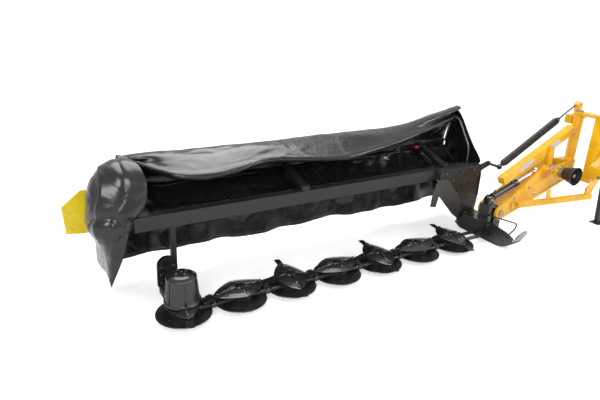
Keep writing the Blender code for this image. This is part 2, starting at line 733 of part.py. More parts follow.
def deck_cloth():
    """Cloth that sags between the spine and the rail, under the cross arms."""
    front = (SPINE_FRONT_Y + SPINE_DEPTH + SEAT * 2, SPINE_TOP_Z - 0.020)
    rear = (RAIL_Y - RAIL_RADIUS - 0.006, RAIL_Z - 0.050)
    middle = ((front[0] + rear[0]) / 2, (front[1] + rear[1]) / 2 - 0.035)
    points = [front, middle, rear]
    return sheet("deck_cloth", [(SPINE_OUTER_X, points), (CURTAIN_INNER_X - 0.010, points)], CLOTH / 2)


def rear_curtain():
    """Curtain that hangs from the rear rail."""
    front = RAIL_Y - CLOTH / 2
    top = RAIL_Z - COLLAR_RADIUS - SEAT
    curtain = box((CURTAIN_OUTER_X + CLOTH, front, CURTAIN_HEM_Z), (CURTAIN_INNER_X, front + CLOTH, top))
    return node("rear_curtain", "vinyl", [curtain])


def outer_curtain():
    """Curtain across the outer end."""
    outline = [(0.285, 0.560), (0.285, 0.800), (0.340, 0.960), (0.520, 0.965),
               (RAIL_Y + 0.004, RAIL_Z + 0.030),
               (RAIL_Y + 0.004, CURTAIN_HEM_Z), (0.560, 0.170), (0.400, 0.300)]
    curtain = prism(outline, 0, CURTAIN_OUTER_X, CURTAIN_OUTER_X + CLOTH - SEAT)
    return node("outer_curtain", "vinyl", [curtain])


def inner_curtain():
    """Curtain across the inner end, behind the gusset."""
    behind = SPINE_FRONT_Y + SPINE_DEPTH + 0.010
    rear = RAIL_Y + CLOTH / 2
    over = SPINE_TOP_Z + 0.015
    outline = [(0.460, 0.900), (RIDGE_Y - 0.010, RIDGE_PEAK_Z - 0.030), (rear, RAIL_Z)]
    outline += [(rear, CURTAIN_HEM_Z), (0.480, 0.260), (behind, 0.480), (behind, over)]
    outline.append((GUSSET_Y[0] - 0.040, over))
    curtain = prism(outline, 0, CURTAIN_INNER_X + SEAT, CURTAIN_INNER_X + CLOTH)
    return node("inner_curtain", "vinyl", [curtain])


# ---------------------------------------------------------------- swing arm
ARM_SLOPE = math.atan2(BOSS_Z[0] + 0.080 - PIVOT_Z, ARM_HINGE_X - PIVOT_X)
FRAME_END_X = ARM_HINGE_X - 0.060


def arm_plate():
    """Broad front plate of the arm, from the fold pivot to the hinge boss."""
    ear = arc((PIVOT_X, PIVOT_Z), EAR_RADIUS, 112, 290, 12)
    slope = math.tan(ARM_SLOPE)
    low_z = PIVOT_Z + slope * (FRAME_END_X - PIVOT_X) - EAR_RADIUS
    crest = arc((ANCHOR_X, ANCHOR_Z), 0.070, 20, 110, 6)
    outline = ear + [(FRAME_END_X, low_z), (FRAME_END_X, low_z + 0.160)]
    outline.append((PULLEY_X + 0.020, PULLEY_Z + 0.080))
    outline += crest + [(PIVOT_X + 0.120, PIVOT_Z + 0.145)]
    plate = prism(outline, 1, *FRONT_EAR_Y)
    bores = [rod((PIVOT_X, -0.3, PIVOT_Z), (PIVOT_X, 0.2, PIVOT_Z), PIVOT_PIN_RADIUS + SEAT, 24),
             rod((PULLEY_X, -0.3, PULLEY_Z), (PULLEY_X, 0.2, PULLEY_Z), 0.050 + SEAT, 24)]
    front = FRONT_EAR_Y[0]
    hub = rod((ANCHOR_X, front - 0.020, ANCHOR_Z), (ANCHOR_X, front + 0.005, ANCHOR_Z), 0.050, 24)
    return node("arm_plate", "yellow", [plate, hub], bores)


def belt_guard():
    """Closed belt case along the rear of the arm; its small end is the rear ear of the fold pivot."""
    outline = link((PIVOT_X, PIVOT_Z), GUARD_SMALL_RADIUS, (PULLEY_X, PULLEY_Z), PULLEY_RADIUS, 12)
    case = prism(outline, 1, *REAR_EAR_Y)
    bore = rod((PIVOT_X, -0.3, PIVOT_Z), (PIVOT_X, 0.2, PIVOT_Z), PIVOT_PIN_RADIUS + SEAT, 24)
    return node("belt_guard", "yellow", [case], [bore])


def fold_pin():
    """Pin of the fold pivot with its head."""
    head = FRONT_EAR_Y[0] - SEAT
    tail = (PIVOT_X, REAR_EAR_Y[1] + 0.012, PIVOT_Z)
    pin = rod((PIVOT_X, head - 0.002, PIVOT_Z), tail, PIVOT_PIN_RADIUS, 24)
    cap = rod((PIVOT_X, head - 0.012, PIVOT_Z), (PIVOT_X, head, PIVOT_Z), PIVOT_PIN_RADIUS + 0.010, 6)
    return node("fold_pin", "steel", [pin, cap])


def hinge_boss():
    """Upright boss of the breakaway hinge, with the web that joins the arm's two sides."""
    centre = (ARM_HINGE_X, ARM_HINGE_Y)
    low, high = BOSS_Z
    boss = lathe([(0, low), (BOSS_RADIUS, low), (BOSS_RADIUS, high), (0, high)], centre, 28)
    web_x = FRAME_END_X - 0.090
    near = (web_x, FRONT_EAR_Y[1] + SEAT, low + 0.012)
    web = box(near, (ARM_HINGE_X - 0.020, REAR_EAR_Y[0] - SEAT, low + 0.150))
    bore = lathe([(0, 0), (ARM_HINGE_PIN + RUN, 0), (ARM_HINGE_PIN + RUN, 2), (0, 2)], centre, 28)
    return node("hinge_boss", "yellow", [boss, web], [bore])


def upper_tube():
    """Square upper tube of the arm, above the lift cylinder."""
    start_x, start_z = UPPER_TUBE_START
    end_x = ARM_HINGE_X - BOSS_RADIUS - 0.004
    ends = ((start_x, CYLINDER_Y, start_z), (end_x, CYLINDER_Y, UPPER_TUBE_END_Z))
    tube = beam(*ends, UPPER_TUBE_SIDE, UPPER_TUBE_SIDE)
    gap = box((end_x - 0.060, -0.2, 0), (end_x + 0.2, 0.2, 2))
    tube = combine(tube, [gap], "DIFFERENCE")
    end_x -= 0.060
    slope = (UPPER_TUBE_END_Z - start_z) / (ARM_HINGE_X - BOSS_RADIUS - 0.004 - start_x)
    joint_z = start_z + slope * (end_x - start_x)
    saddle = box((end_x - 0.020, CYLINDER_Y - 0.030, joint_z - 0.034),
                 (ARM_HINGE_X - BOSS_RADIUS - SEAT, CYLINDER_Y + 0.030, joint_z + 0.030))
    leg = PULLEY_X - 0.160
    leg_z = start_z + slope * (leg - start_x)
    strut_y = FRONT_EAR_Y[1] + SEAT
    strut = box((leg - 0.030, strut_y, ANCHOR_Z + 0.055), (leg + 0.030, strut_y + 0.040, leg_z))
    return node("upper_tube", "yellow", [tube, saddle, strut])


def input_bearing():
    """Bearing tube of the driving pulley, through the front plate, with the splined input stub."""
    case = rod((PULLEY_X, -0.150, PULLEY_Z), (PULLEY_X, REAR_EAR_Y[0] - SEAT, PULLEY_Z), 0.050, 24)
    stub = rod((PULLEY_X, -0.250, PULLEY_Z), (PULLEY_X, -0.140, PULLEY_Z), 0.0175, 16)
    return node("input_bearing", "steel", [case, stub])


def input_cone():
    """Open plastic cone round the input stub."""
    back = -0.150 - SEAT
    profile = [(0.026, 0), (0.052, 0), (0.085, 0.120), (0.081, 0.120), (0.049, 0.006), (0.026, 0.006)]
    cone = lathe(profile, (0, 0), 28)
    cone.data.transform(Matrix.Rotation(math.radians(90), 4, "X"))
    cone.data.transform(Matrix.Translation((PULLEY_X, back, PULLEY_Z)))
    return node("input_cone", "black_satin", [cone])


LATCH_END = (ARM_HINGE_X - 0.160, HITCH_PIN_Y + 0.060, BOSS_Z[0] - 0.095)


def lower_brace():
    """Level brace from the arm forward to the breakaway latch, with a hand lever."""
    start = (PIVOT_X + 0.170, FRONT_EAR_Y[0] - SEAT - 0.024, PIVOT_Z + 0.060)
    tube = beam(start, LATCH_END, 0.045, 0.045)
    trim = box((start[0] - 0.2, FRONT_EAR_Y[0] - SEAT, 0), (LATCH_END[0], 0.2, 1))
    pad = box((start[0] - 0.060, FRONT_EAR_Y[0] - SEAT - 0.016, start[2] - 0.030),
              (start[0] + 0.070, FRONT_EAR_Y[0] - SEAT, start[2] + 0.030))
    share = 0.42
    spot = Vector(start).lerp(Vector(LATCH_END), share)
    lever = beam(spot, spot + Vector((-0.030, 0, 0.110)), 0.014, 0.045, (1, 0, 0))
    return node("lower_brace", "yellow", [tube, pad, lever], [trim])


def spring_bracket():
    """Arm from the hinge boss to the eye of the float spring's rod."""
    eye_x, eye_z = SPRING_EYE
    low, high = BOSS_Z[1] - 0.090, BOSS_Z[1] - 0.015
    face = ARM_HINGE_Y + BOSS_RADIUS + SEAT
    outline = [(ARM_HINGE_X - 0.030, low), (ARM_HINGE_X + 0.040, low), (eye_x + 0.030, high - 0.040),
               (eye_x + 0.030, high), (ARM_HINGE_X - 0.030, high)]
    plate = prism(outline, 1, face, SPRING_Y - SPRING_RADIUS)
    head = [(eye_x + 0.004, high - 0.040), (eye_x + 0.030, high - 0.040)]
    head += arc((eye_x, eye_z), 0.026, 0, 240, 12)
    knuckle = prism(head, 1, SPRING_Y - SPRING_RADIUS - 0.010, SPRING_Y + 0.012)
    bore = rod((eye_x, 0, eye_z), (eye_x, 0.4, eye_z), 0.010, 12)
    return node("spring_bracket", "yellow", [plate, knuckle], [bore])


SPRING_RUN = Vector((SPRING_HEAD[0] - SPRING_FOOT[0], 0, SPRING_HEAD[1] - SPRING_FOOT[1])).normalized()
SPRING_EYE = (2.800, SPRING_FOOT[1] + (2.800 - SPRING_FOOT[0]) * SPRING_RUN.z / SPRING_RUN.x)


def float_spring():
    """Heavy pull spring, as a plain bar of its outer size, with its hook and the rod to its bracket."""
    foot = Vector((SPRING_FOOT[0], SPRING_Y, SPRING_FOOT[1]))
    head = Vector((SPRING_HEAD[0], SPRING_Y, SPRING_HEAD[1]))
    coil = rod(foot + SPRING_RUN * 0.055, head, SPRING_RADIUS, 16)
    eye = Vector((SPRING_EYE[0], SPRING_Y, SPRING_EYE[1]))
    hook = rod(foot + SPRING_RUN * 0.030, foot + SPRING_RUN * 0.060, 0.007, 12)
    bar = rod(head - SPRING_RUN * 0.005, eye - SPRING_RUN * (0.0262 + SEAT), 0.007, 12)
    return node("float_spring", "spring_black", [coil, hook, bar])


# ---------------------------------------------------------------- lift cylinder
CYLINDER_FOOT = Vector((LUG_X, CYLINDER_Y, LUG_Z))
CYLINDER_EYE = Vector((ANCHOR_X, CYLINDER_Y, ANCHOR_Z))
CYLINDER_RUN = (CYLINDER_EYE - CYLINDER_FOOT).normalized()
BARREL_END = 0.345
BARREL_RADIUS = 0.031
ROD_RADIUS = 0.016
EYE_HALF = 0.013
ROD_TAIL = 0.275         # the rod's inner end, measured from the foot pin


def eye(centre, radius, half):
    """A round eye about a fore-and-aft pin."""
    return rod(centre - Vector((0, half, 0)), centre + Vector((0, half, 0)), radius, 20)


def cylinder_barrel():
    """Barrel with its foot eye, open at the rod end."""
    end = CYLINDER_FOOT + CYLINDER_RUN * BARREL_END
    tube = rod(CYLINDER_FOOT + CYLINDER_RUN * 0.038, end, BARREL_RADIUS, 24)
    neck = rod(CYLINDER_FOOT, CYLINDER_FOOT + CYLINDER_RUN * 0.045, 0.013, 12)
    bore_end = CYLINDER_FOOT + CYLINDER_RUN * 0.6
    bore = rod(CYLINDER_FOOT + CYLINDER_RUN * 0.052, bore_end, ROD_RADIUS + RUN, 20)
    return node("cylinder_barrel", "black_gloss", [tube, neck, eye(CYLINDER_FOOT, 0.024, EYE_HALF)],
                [bore, eye(CYLINDER_FOOT, 0.0125, 0.1)])


def cylinder_pin():
    """Pin of the cylinder's foot, held in the two lugs."""
    reach = LUG_HALF + 0.012 + 0.006
    return node("cylinder_pin", "steel", [eye(CYLINDER_FOOT, 0.0120, reach)])


def cylinder_rod():
    """Chromed rod with its eye, free at the arm's upper hub."""
    bar = rod(CYLINDER_FOOT + CYLINDER_RUN * ROD_TAIL, CYLINDER_EYE - CYLINDER_RUN * 0.020, ROD_RADIUS, 20)
    return node("cylinder_rod", "chrome", [bar, eye(CYLINDER_EYE, 0.026, EYE_HALF)],
                [eye(CYLINDER_EYE, 0.012, 0.1)])


# ---------------------------------------------------------------- headstock
LUG_WALL = 0.025
LUG_GAP = 0.004


def headstock():
    """A-frame with its cross beam, hinge column and hitch plates."""
    half = HITCH_PIN_SPREAD / 2
    ends = (MAST_CENTRE_X - half, MAST_CENTRE_X + half)
    rear = BEAM_Y + BEAM_SIDE / 2
    low = HITCH_PIN_Z - BEAM_SIDE / 2
    pieces = [box((ends[0] + 0.004, BEAM_Y - BEAM_SIDE / 2, low), (ends[1] - 0.004, rear, low + BEAM_SIDE))]
    column_top = BOSS_Z[1] + LUG_GAP + LUG_WALL
    column_low = BOSS_Z[0] - LUG_GAP - LUG_WALL
    near = (ARM_HINGE_X - 0.040, rear - 0.020, column_low)
    pieces.append(box(near, (ARM_HINGE_X + 0.040, rear + 0.060, column_top)))
    for z in (column_low, column_top - LUG_WALL):
        outline = [(ARM_HINGE_X - 0.040, rear + 0.040)] + arc((ARM_HINGE_X, ARM_HINGE_Y), 0.048, 180, 0, 12)
        outline.append((ARM_HINGE_X + 0.040, rear + 0.040))
        pieces.append(prism(outline, 2, z, z + LUG_WALL))
    mast_top = TOP_LINK_Z - 0.050
    for side in (-1, 1):
        foot = (MAST_CENTRE_X + side * (half - 0.055), BEAM_Y, low + BEAM_SIDE - 0.010)
        pieces.append(beam(foot, (MAST_CENTRE_X + side * 0.030, BEAM_Y, mast_top), 0.050, 0.060, (0, 1, 0)))
        near, far = sorted((MAST_CENTRE_X + side * 0.026, MAST_CENTRE_X + side * 0.040))
        head = [(BEAM_Y + 0.035, mast_top - 0.060), (BEAM_Y + 0.035, TOP_LINK_Z + 0.020)]
        head += arc((HITCH_PIN_Y + 0.080, TOP_LINK_Z), 0.034, 70, 250, 8)
        head += [(BEAM_Y - 0.030, mast_top - 0.060)]
        pieces.append(prism(head, 0, near, far))
        near, far = sorted((MAST_CENTRE_X + side * half, MAST_CENTRE_X + side * (half - 0.014)))
        plate = [(rear, low - 0.010), (rear, low + BEAM_SIDE + 0.010)]
        plate += arc((HITCH_PIN_Y, HITCH_PIN_Z), 0.045, 100, 260, 8)
        pieces.append(prism(plate, 0, near, far))
    near = (MAST_CENTRE_X - 0.040, BEAM_Y - 0.020, mast_top - 0.070)
    pieces.append(box(near, (MAST_CENTRE_X + 0.040, BEAM_Y + 0.034, mast_top)))
    tie_z = column_top - 0.030
    tie_start = (ARM_HINGE_X + 0.020, rear + 0.010, tie_z)
    pieces.append(beam(tie_start, (MAST_CENTRE_X, BEAM_Y + 0.005, mast_top - 0.035), 0.040, 0.040))
    bores = [lathe([(0, 0), (ARM_HINGE_PIN + SEAT, 0), (ARM_HINGE_PIN + SEAT, 2), (0, 2)],
                   (ARM_HINGE_X, ARM_HINGE_Y), 28)]
    through = ((0, HITCH_PIN_Y, HITCH_PIN_Z), (5, HITCH_PIN_Y, HITCH_PIN_Z))
    bores.append(rod(*through, HITCH_PIN_RADIUS + SEAT, 20))
    top_y = HITCH_PIN_Y + 0.080
    bores.append(rod((0, top_y, TOP_LINK_Z), (5, top_y, TOP_LINK_Z), 0.0125 + SEAT, 20))
    return node("headstock", "yellow", pieces, bores)


def hinge_pin():
    """Upright pin of the breakaway hinge with a head on top."""
    top = BOSS_Z[1] + LUG_GAP + LUG_WALL + SEAT
    low = BOSS_Z[0] - LUG_GAP - LUG_WALL - 0.012
    centre = (ARM_HINGE_X, ARM_HINGE_Y)
    profile = [(0, low), (ARM_HINGE_PIN, low), (ARM_HINGE_PIN, top)]
    profile += [(0.034, top), (0.034, top + 0.012), (0, top + 0.012)]
    return node("hinge_pin", "steel", [lathe(profile, centre, 28)])


def hitch_pin(side):
    """Lower hitch pin with its collar, pointing outwards."""
    face = MAST_CENTRE_X + side * HITCH_PIN_SPREAD / 2
    inner = face - side * 0.040
    outer = face + side * HITCH_PIN_LENGTH
    pin = rod((inner, HITCH_PIN_Y, HITCH_PIN_Z), (outer, HITCH_PIN_Y, HITCH_PIN_Z), HITCH_PIN_RADIUS, 20)
    near = (face + side * SEAT, HITCH_PIN_Y, HITCH_PIN_Z)
    collar = rod(near, (face + side * 0.016, HITCH_PIN_Y, HITCH_PIN_Z), 0.026, 20)
    return node("hitch_pin_left" if side > 0 else "hitch_pin_right", "steel", [pin, collar])


def top_link_pin():
    """Pin across the mast head's two plates."""
    y = HITCH_PIN_Y + 0.080
    pin = rod((MAST_CENTRE_X - 0.060, y, TOP_LINK_Z), (MAST_CENTRE_X + 0.060, y, TOP_LINK_Z), 0.0125, 20)
    return node("top_link_pin", "steel", [pin])


def latch_plate():
    """Plate under the cross beam that the brace's latch meets."""
    x = LATCH_END[0] + PASS + 0.002
    beam_low = HITCH_PIN_Z - BEAM_SIDE / 2 - SEAT
    left = MAST_CENTRE_X - HITCH_PIN_SPREAD / 2 + 0.020
    outline = [(left, beam_low), (left + 0.080, beam_low), (left + 0.080, beam_low - 0.050)]
    outline += [(x + 0.070, LATCH_END[2] - 0.040),
               (x, LATCH_END[2] - 0.040), (x, LATCH_END[2] + 0.050), (left, beam_low - 0.030)]
    front = BEAM_Y - BEAM_SIDE / 2
    return node("latch_plate", "yellow", [prism(outline, 1, front, front + 0.016)])


STAND_PIVOT = (STAND_X, BEAM_Y + BEAM_SIDE / 2 + 0.045, HITCH_PIN_Z - 0.070)
STAND_LEAN = 0.040       # the foot stands this far in front of its pivot, so weight holds it on its stop


def stand_bracket():
    """Two ears behind the cross beam, with the pin that the parking stand turns on."""
    pieces = []
    x, y, z = STAND_PIVOT
    rear = BEAM_Y + BEAM_SIDE / 2 + SEAT
    for side in (-1, 1):
        near, far = sorted((x + side * (STAND_SIDE / 2 + RUN), x + side * (STAND_SIDE / 2 + RUN + 0.010)))
        outline = [(rear, z - 0.020)] + arc((y, z), 0.030, -90, 60, 8) + [(rear, HITCH_PIN_Z + 0.030)]
        pieces.append(prism(outline, 0, near, far))
    pad = box((x - 0.050, rear, HITCH_PIN_Z - 0.010), (x + 0.050, rear + 0.010, HITCH_PIN_Z + 0.030))
    reach = STAND_SIDE / 2 + 0.018
    pin = rod((x - reach, y, z), (x + reach, y, z), 0.010, 16)
    return node("stand_bracket", "yellow", [pad] + pieces + [pin])


def parking_stand():
    """Folding leg with a foot plate, turned up behind the beam for work."""
    x, y, z = STAND_PIVOT
    foot_y = y - STAND_LEAN
    leg = beam((x, y, z), (x, foot_y, 0.006), STAND_SIDE, STAND_SIDE - 0.010, (0, 1, 0))
    foot = box((x - 0.060, foot_y - 0.050, 0), (x + 0.060, foot_y + 0.050, 0.008))
    top = rod((x - STAND_SIDE / 2, y, z), (x + STAND_SIDE / 2, y, z), 0.024, 20)
    bore = rod((x - 0.2, y, z), (x + 0.2, y, z), 0.010 + RUN, 16)
    return node("parking_stand", "black_satin", [leg, foot, top], [bore])


# ---------------------------------------------------------------- assembly
def build_cutterbar():
    """Everything that folds up with the bar."""
    pieces = [cutter_bed(), outer_upright(), outer_post(), drive_housing(), inner_gusset(),
              inner_shoe(), shoe_nose(), guard_loop(), inner_shield(), cylinder_pin()]
    pieces += [skid_shoe(index) for index in range(DISC_COUNT)]
    pieces += [spine(), rear_rail(), inner_hoop(), marker_board(), red_knob()]
    spots = (SPINE_OUTER_X + 0.060,) + CROSS_ARM_X
    names = ("outer_cross_arm", "middle_cross_arm", "inner_cross_arm")
    pieces += [cross_arm(name, x) for name, x in zip(names, spots)]
    pieces += [folded_flap(), deck_cloth(), rear_curtain(), outer_curtain(), inner_curtain()]
    return pieces


def build_arm():
    """Everything that swings with the arm."""
    return [arm_plate(), belt_guard(), fold_pin(), hinge_boss(), upper_tube(), input_bearing(),
            input_cone(), lower_brace(), spring_bracket(), float_spring()]


def build_headstock():
    """The headstock with its pins and plates."""
    return [headstock(), hinge_pin(), hitch_pin(-1), hitch_pin(1), top_link_pin(), latch_plate(),
            stand_bracket()]


def stand_on_origin(machine):
    """Move the whole machine so that its box stands centred on the origin."""
    bpy.context.view_layer.update()
    corners = []
    for obj in bpy.context.scene.objects:
        if obj.type == "MESH":
            corners += [obj.matrix_world @ vert.co for vert in obj.data.vertices]
    low = [min(spot[i] for spot in corners) for i in range(3)]
    high = [max(spot[i] for spot in corners) for i in range(3)]
    machine.location = (-(low[0] + high[0]) / 2, -(low[1] + high[1]) / 2, -low[2])


def main():
    for obj in list(bpy.data.objects):
        bpy.data.objects.remove(obj)
    machine = axis_empty("machine", (0, 0, 0))
    breakaway = axis_empty("breakaway_axis", (ARM_HINGE_X, ARM_HINGE_Y, BOSS_Z[0]), machine)
    fold = axis_empty("bar_fold_axis", (PIVOT_X, 0, PIVOT_Z), breakaway)
    hang(build_headstock(), machine)
    hang(build_arm(), breakaway)
    hang(build_cutterbar(), fold)
    hang([rotor(index) for index in range(DISC_COUNT)], fold)
    barrel = cylinder_barrel()
    set_origin(barrel, CYLINDER_FOOT)
    hang([barrel], fold)
    piston = cylinder_rod()
    set_origin(piston, CYLINDER_EYE)
    hang([piston], barrel)
    stand = parking_stand()
    set_origin(stand, STAND_PIVOT)
    hang([stand], machine)
    stand_on_origin(machine)


main()
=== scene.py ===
"""Looks of the disc mower: finishes, curtains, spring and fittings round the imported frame.

Metres. The bar lies along X with its outer end at -X, and the machine works towards -Y.
"""
import json
import math

import bpy
import numpy as np
from mathutils import Matrix, Vector, noise


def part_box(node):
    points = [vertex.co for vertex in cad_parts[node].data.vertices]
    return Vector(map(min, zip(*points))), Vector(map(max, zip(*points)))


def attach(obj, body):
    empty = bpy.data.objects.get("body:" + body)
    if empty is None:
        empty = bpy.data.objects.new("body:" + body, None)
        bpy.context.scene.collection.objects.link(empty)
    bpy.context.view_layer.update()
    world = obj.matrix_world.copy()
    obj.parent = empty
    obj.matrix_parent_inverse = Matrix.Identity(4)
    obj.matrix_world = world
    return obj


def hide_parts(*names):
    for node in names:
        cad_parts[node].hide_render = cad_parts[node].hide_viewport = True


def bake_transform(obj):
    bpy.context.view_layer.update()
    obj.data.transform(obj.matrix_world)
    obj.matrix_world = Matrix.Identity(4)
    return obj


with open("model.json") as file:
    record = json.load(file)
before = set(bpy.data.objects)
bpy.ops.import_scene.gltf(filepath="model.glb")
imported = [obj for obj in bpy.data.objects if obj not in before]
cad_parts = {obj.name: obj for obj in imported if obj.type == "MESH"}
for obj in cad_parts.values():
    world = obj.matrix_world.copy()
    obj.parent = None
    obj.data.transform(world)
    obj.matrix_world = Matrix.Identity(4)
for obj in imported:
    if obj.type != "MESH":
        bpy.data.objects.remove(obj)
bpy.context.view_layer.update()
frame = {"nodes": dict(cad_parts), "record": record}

bl_info = {
    "name": "Disc mower looks",
    "version": (1, 0, 0),
    "blender": (4, 5, 0),
    "location": "3D View > Sidebar > Mower",
    "description": "Finishes, curtains, spring and fittings of a rear-mounted disc mower",
    "category": "Object",
}

# ---------------------------------------------------------------- places on the machine
SKID_FORWARD = 0.020
DISC_PITCH = 0.400
DISCS = 7
OUTER_DISC_X = -3 * DISC_PITCH
TIMING_TILT = math.radians(7.5)
HUB_TOP_Z = 0.1275
KNIFE_PAD_Z = 0.1095
KNIFE_PAD_X = 0.170
CROSS_ARMS = (-1.340, -0.110, 1.335)
RAIL = (0.700, 0.745)
ANCHOR = (2.160, 0.585)
PULLEY = (2.400, 0.560)
PIVOT = (1.655, 0.275)
LUG = (1.575, 0.395)
CYLINDER_Y = -0.030
SPRING_Y = 0.130
SPRING_RADIUS = 0.034
SPRING_FOOT = (1.830, 0.610)
SPRING_HEAD = (2.540, 0.985)
SPRING_EYE_X = 2.800
HINGE = (2.640, -0.015)
MAST_X = 2.960
FRONT = (0, -1, 0)
REAR = (0, 1, 0)
UP = (0, 0, 1)
OUTWARD = (-1, 0, 0)
INWARD = (1, 0, 0)


def middle_disc():
    """Point on the ground under the shaft of the middle disc."""
    low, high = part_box("skid_shoe_4")
    return Vector(((low.x + high.x) / 2, (low.y + high.y) / 2 + SKID_FORWARD, 0))


HOME = middle_disc()


def at(x, y, z):
    """A point measured from under the middle disc."""
    return HOME + Vector((x, y, z))


# ---------------------------------------------------------------- sizes and colours
def colour_property(name, description, default):
    return bpy.props.FloatVectorProperty(name=name, description=description, subtype="COLOR", size=3,
                                         min=0, max=1, default=default)


def length_property(name, description, low, high, default):
    return bpy.props.FloatProperty(name=name, description=description, unit="LENGTH",
                                   min=low, max=high, default=default)


class MowerColours(bpy.types.PropertyGroup):
    """Colours of the paints, plastics and cloth."""

    black: colour_property("Black paint", "Paint of the bar, discs and guard frame", (0.012, 0.012, 0.0135))
    yellow: colour_property("Yellow paint", "Paint of the arm and the headstock", (0.90, 0.47, 0.010))
    marker: colour_property("Marker yellow", "Board at the outer end", (0.96, 0.67, 0.004))
    cloth: colour_property("Coated cloth", "Coated cloth of the curtains", (0.0080, 0.0076, 0.0074))
    steel: colour_property("Steel", "Bare and plated steel", (0.42, 0.42, 0.43))
    knob: colour_property("Knob", "Ball grip on the inner cross arm", (0.55, 0.012, 0.012))


class MowerSizes(bpy.types.PropertyGroup):
    """Sizes of the curtains, the spring and the bolts."""

    cloth_thickness: length_property("Cloth thickness", "Thickness of the coated cloth", 0.001, 0.006, 0.0025)
    crease_depth: length_property("Crease depth", "Depth of the creases left by folding", 0, 0.02, 0.0050)
    spring_wire: length_property("Spring wire", "Radius of the float spring's wire", 0.002, 0.008, 0.0062)
    spring_turns: bpy.props.IntProperty(
        name="Spring turns", description="Turns of the float spring", min=20, max=80, default=50)
    bolt_head: length_property("Bolt head", "Radius of a common bolt's head", 0.004, 0.015, 0.0085)


def colours():
    return bpy.context.scene.mower_colours


def sizes():
    return bpy.context.scene.mower_sizes


# ---------------------------------------------------------------- shader helpers
def put(tree, kind, values=None, **settings):
    """Add a node; a value may be a number, a colour or another node's socket."""
    made = tree.nodes.new(kind)
    for key, value in settings.items():
        setattr(made, key, value)
    for key, value in (values or {}).items():
        socket = made.inputs[key]
        if isinstance(value, bpy.types.NodeSocket):
            tree.links.new(value, socket)
        else:
            socket.default_value = value
    return made


def maths(tree, operation, first, second=0.0, clamp=False):
    made = put(tree, "ShaderNodeMath", {0: first, 1: second}, operation=operation, use_clamp=clamp)
    return made.outputs[0]


def blend_colour(tree, factor, first, second):
    made = put(tree, "ShaderNodeMix", {0: factor, 6: first, 7: second}, data_type="RGBA")
    return made.outputs[2]


def spread(tree, value, low, high, to_low=0.0, to_high=1.0):
    """Map a value's range to another, with its ends held."""
    made = put(tree, "ShaderNodeMapRange", {0: value, 1: low, 2: high, 3: to_low, 4: to_high})
    return made.outputs[0]


def speckle(tree, where, scale, detail=3.0, roughness=0.5, distortion=0.0):
    made = put(tree, "ShaderNodeTexNoise", {"Vector": where, "Scale": scale, "Detail": detail,
                                            "Roughness": roughness, "Distortion": distortion})
    return made.outputs["Fac"]


def new_group(name, inputs, outputs):
    tree = bpy.data.node_groups.new(name, "ShaderNodeTree")
    for label, value in inputs:
        made = tree.interface.new_socket(name=label, in_out="INPUT", socket_type="NodeSocketFloat")
        made.default_value = value
    for label in outputs:
        tree.interface.new_socket(name=label, in_out="OUTPUT", socket_type="NodeSocketFloat")
    return tree, tree.nodes.new("NodeGroupInput").outputs, tree.nodes.new("NodeGroupOutput").inputs


def paint_skin_group():
    """Orange peel of sprayed paint, and its slow change of gloss."""
    tree, given, out = new_group("paint_skin", [("Scale", 420.0)], ["Height", "Mottle"])
    where = put(tree, "ShaderNodeTexCoord").outputs["Object"]
    peel = speckle(tree, where, given["Scale"], 2.0)
    tree.links.new(peel, out["Height"])
    slow = speckle(tree, where, 9.0, 5.0, 0.62)
    tree.links.new(spread(tree, slow, 0.32, 0.68), out["Mottle"])
    return tree


def rubbed_edges_group():
    """Mask of the outer edges where paint has worn, broken up by noise."""
    tree, given, out = new_group("rubbed_edges", [("Radius", 0.0025), ("Cover", 0.5)], ["Mask"])
    rounded = put(tree, "ShaderNodeBevel", {"Radius": given["Radius"]}, samples=6)
    plain = put(tree, "ShaderNodeNewGeometry").outputs["Normal"]
    facing = put(tree, "ShaderNodeVectorMath", {0: rounded.outputs[0], 1: plain},
                 operation="DOT_PRODUCT").outputs["Value"]
    edge = spread(tree, facing, 0.995, 0.86)
    where = put(tree, "ShaderNodeTexCoord").outputs["Object"]
    broken = speckle(tree, where, 55.0, 6.0, 0.7)
    level = maths(tree, "SUBTRACT", 1.0, given["Cover"])
    chips = spread(tree, maths(tree, "SUBTRACT", broken, level), -0.02, 0.10)
    tree.links.new(maths(tree, "MULTIPLY", edge, chips, True), out["Mask"])
    return tree


def settled_dust_group():
    """Mask of dust that lies on what faces up and low down."""
    tree, given, out = new_group("settled_dust", [("Amount", 0.3), ("Reach", 0.5)], ["Mask"])
    coords = put(tree, "ShaderNodeTexCoord").outputs
    facing = put(tree, "ShaderNodeSeparateXYZ", {0: coords["Normal"]}).outputs["Z"]
    level = put(tree, "ShaderNodeSeparateXYZ", {0: coords["Object"]}).outputs["Z"]
    lying = spread(tree, facing, 0.15, 0.95, 0.25, 1.0)
    low = spread(tree, maths(tree, "DIVIDE", level, given["Reach"]), 0.0, 1.0, 1.0, 0.12)
    cloudy = spread(tree, speckle(tree, coords["Object"], 26.0, 8.0, 0.68), 0.38, 0.72)
    amount = maths(tree, "MULTIPLY", maths(tree, "MULTIPLY", lying, low), given["Amount"])
    tree.links.new(maths(tree, "MULTIPLY", amount, cloudy, True), out["Mask"])
    return tree


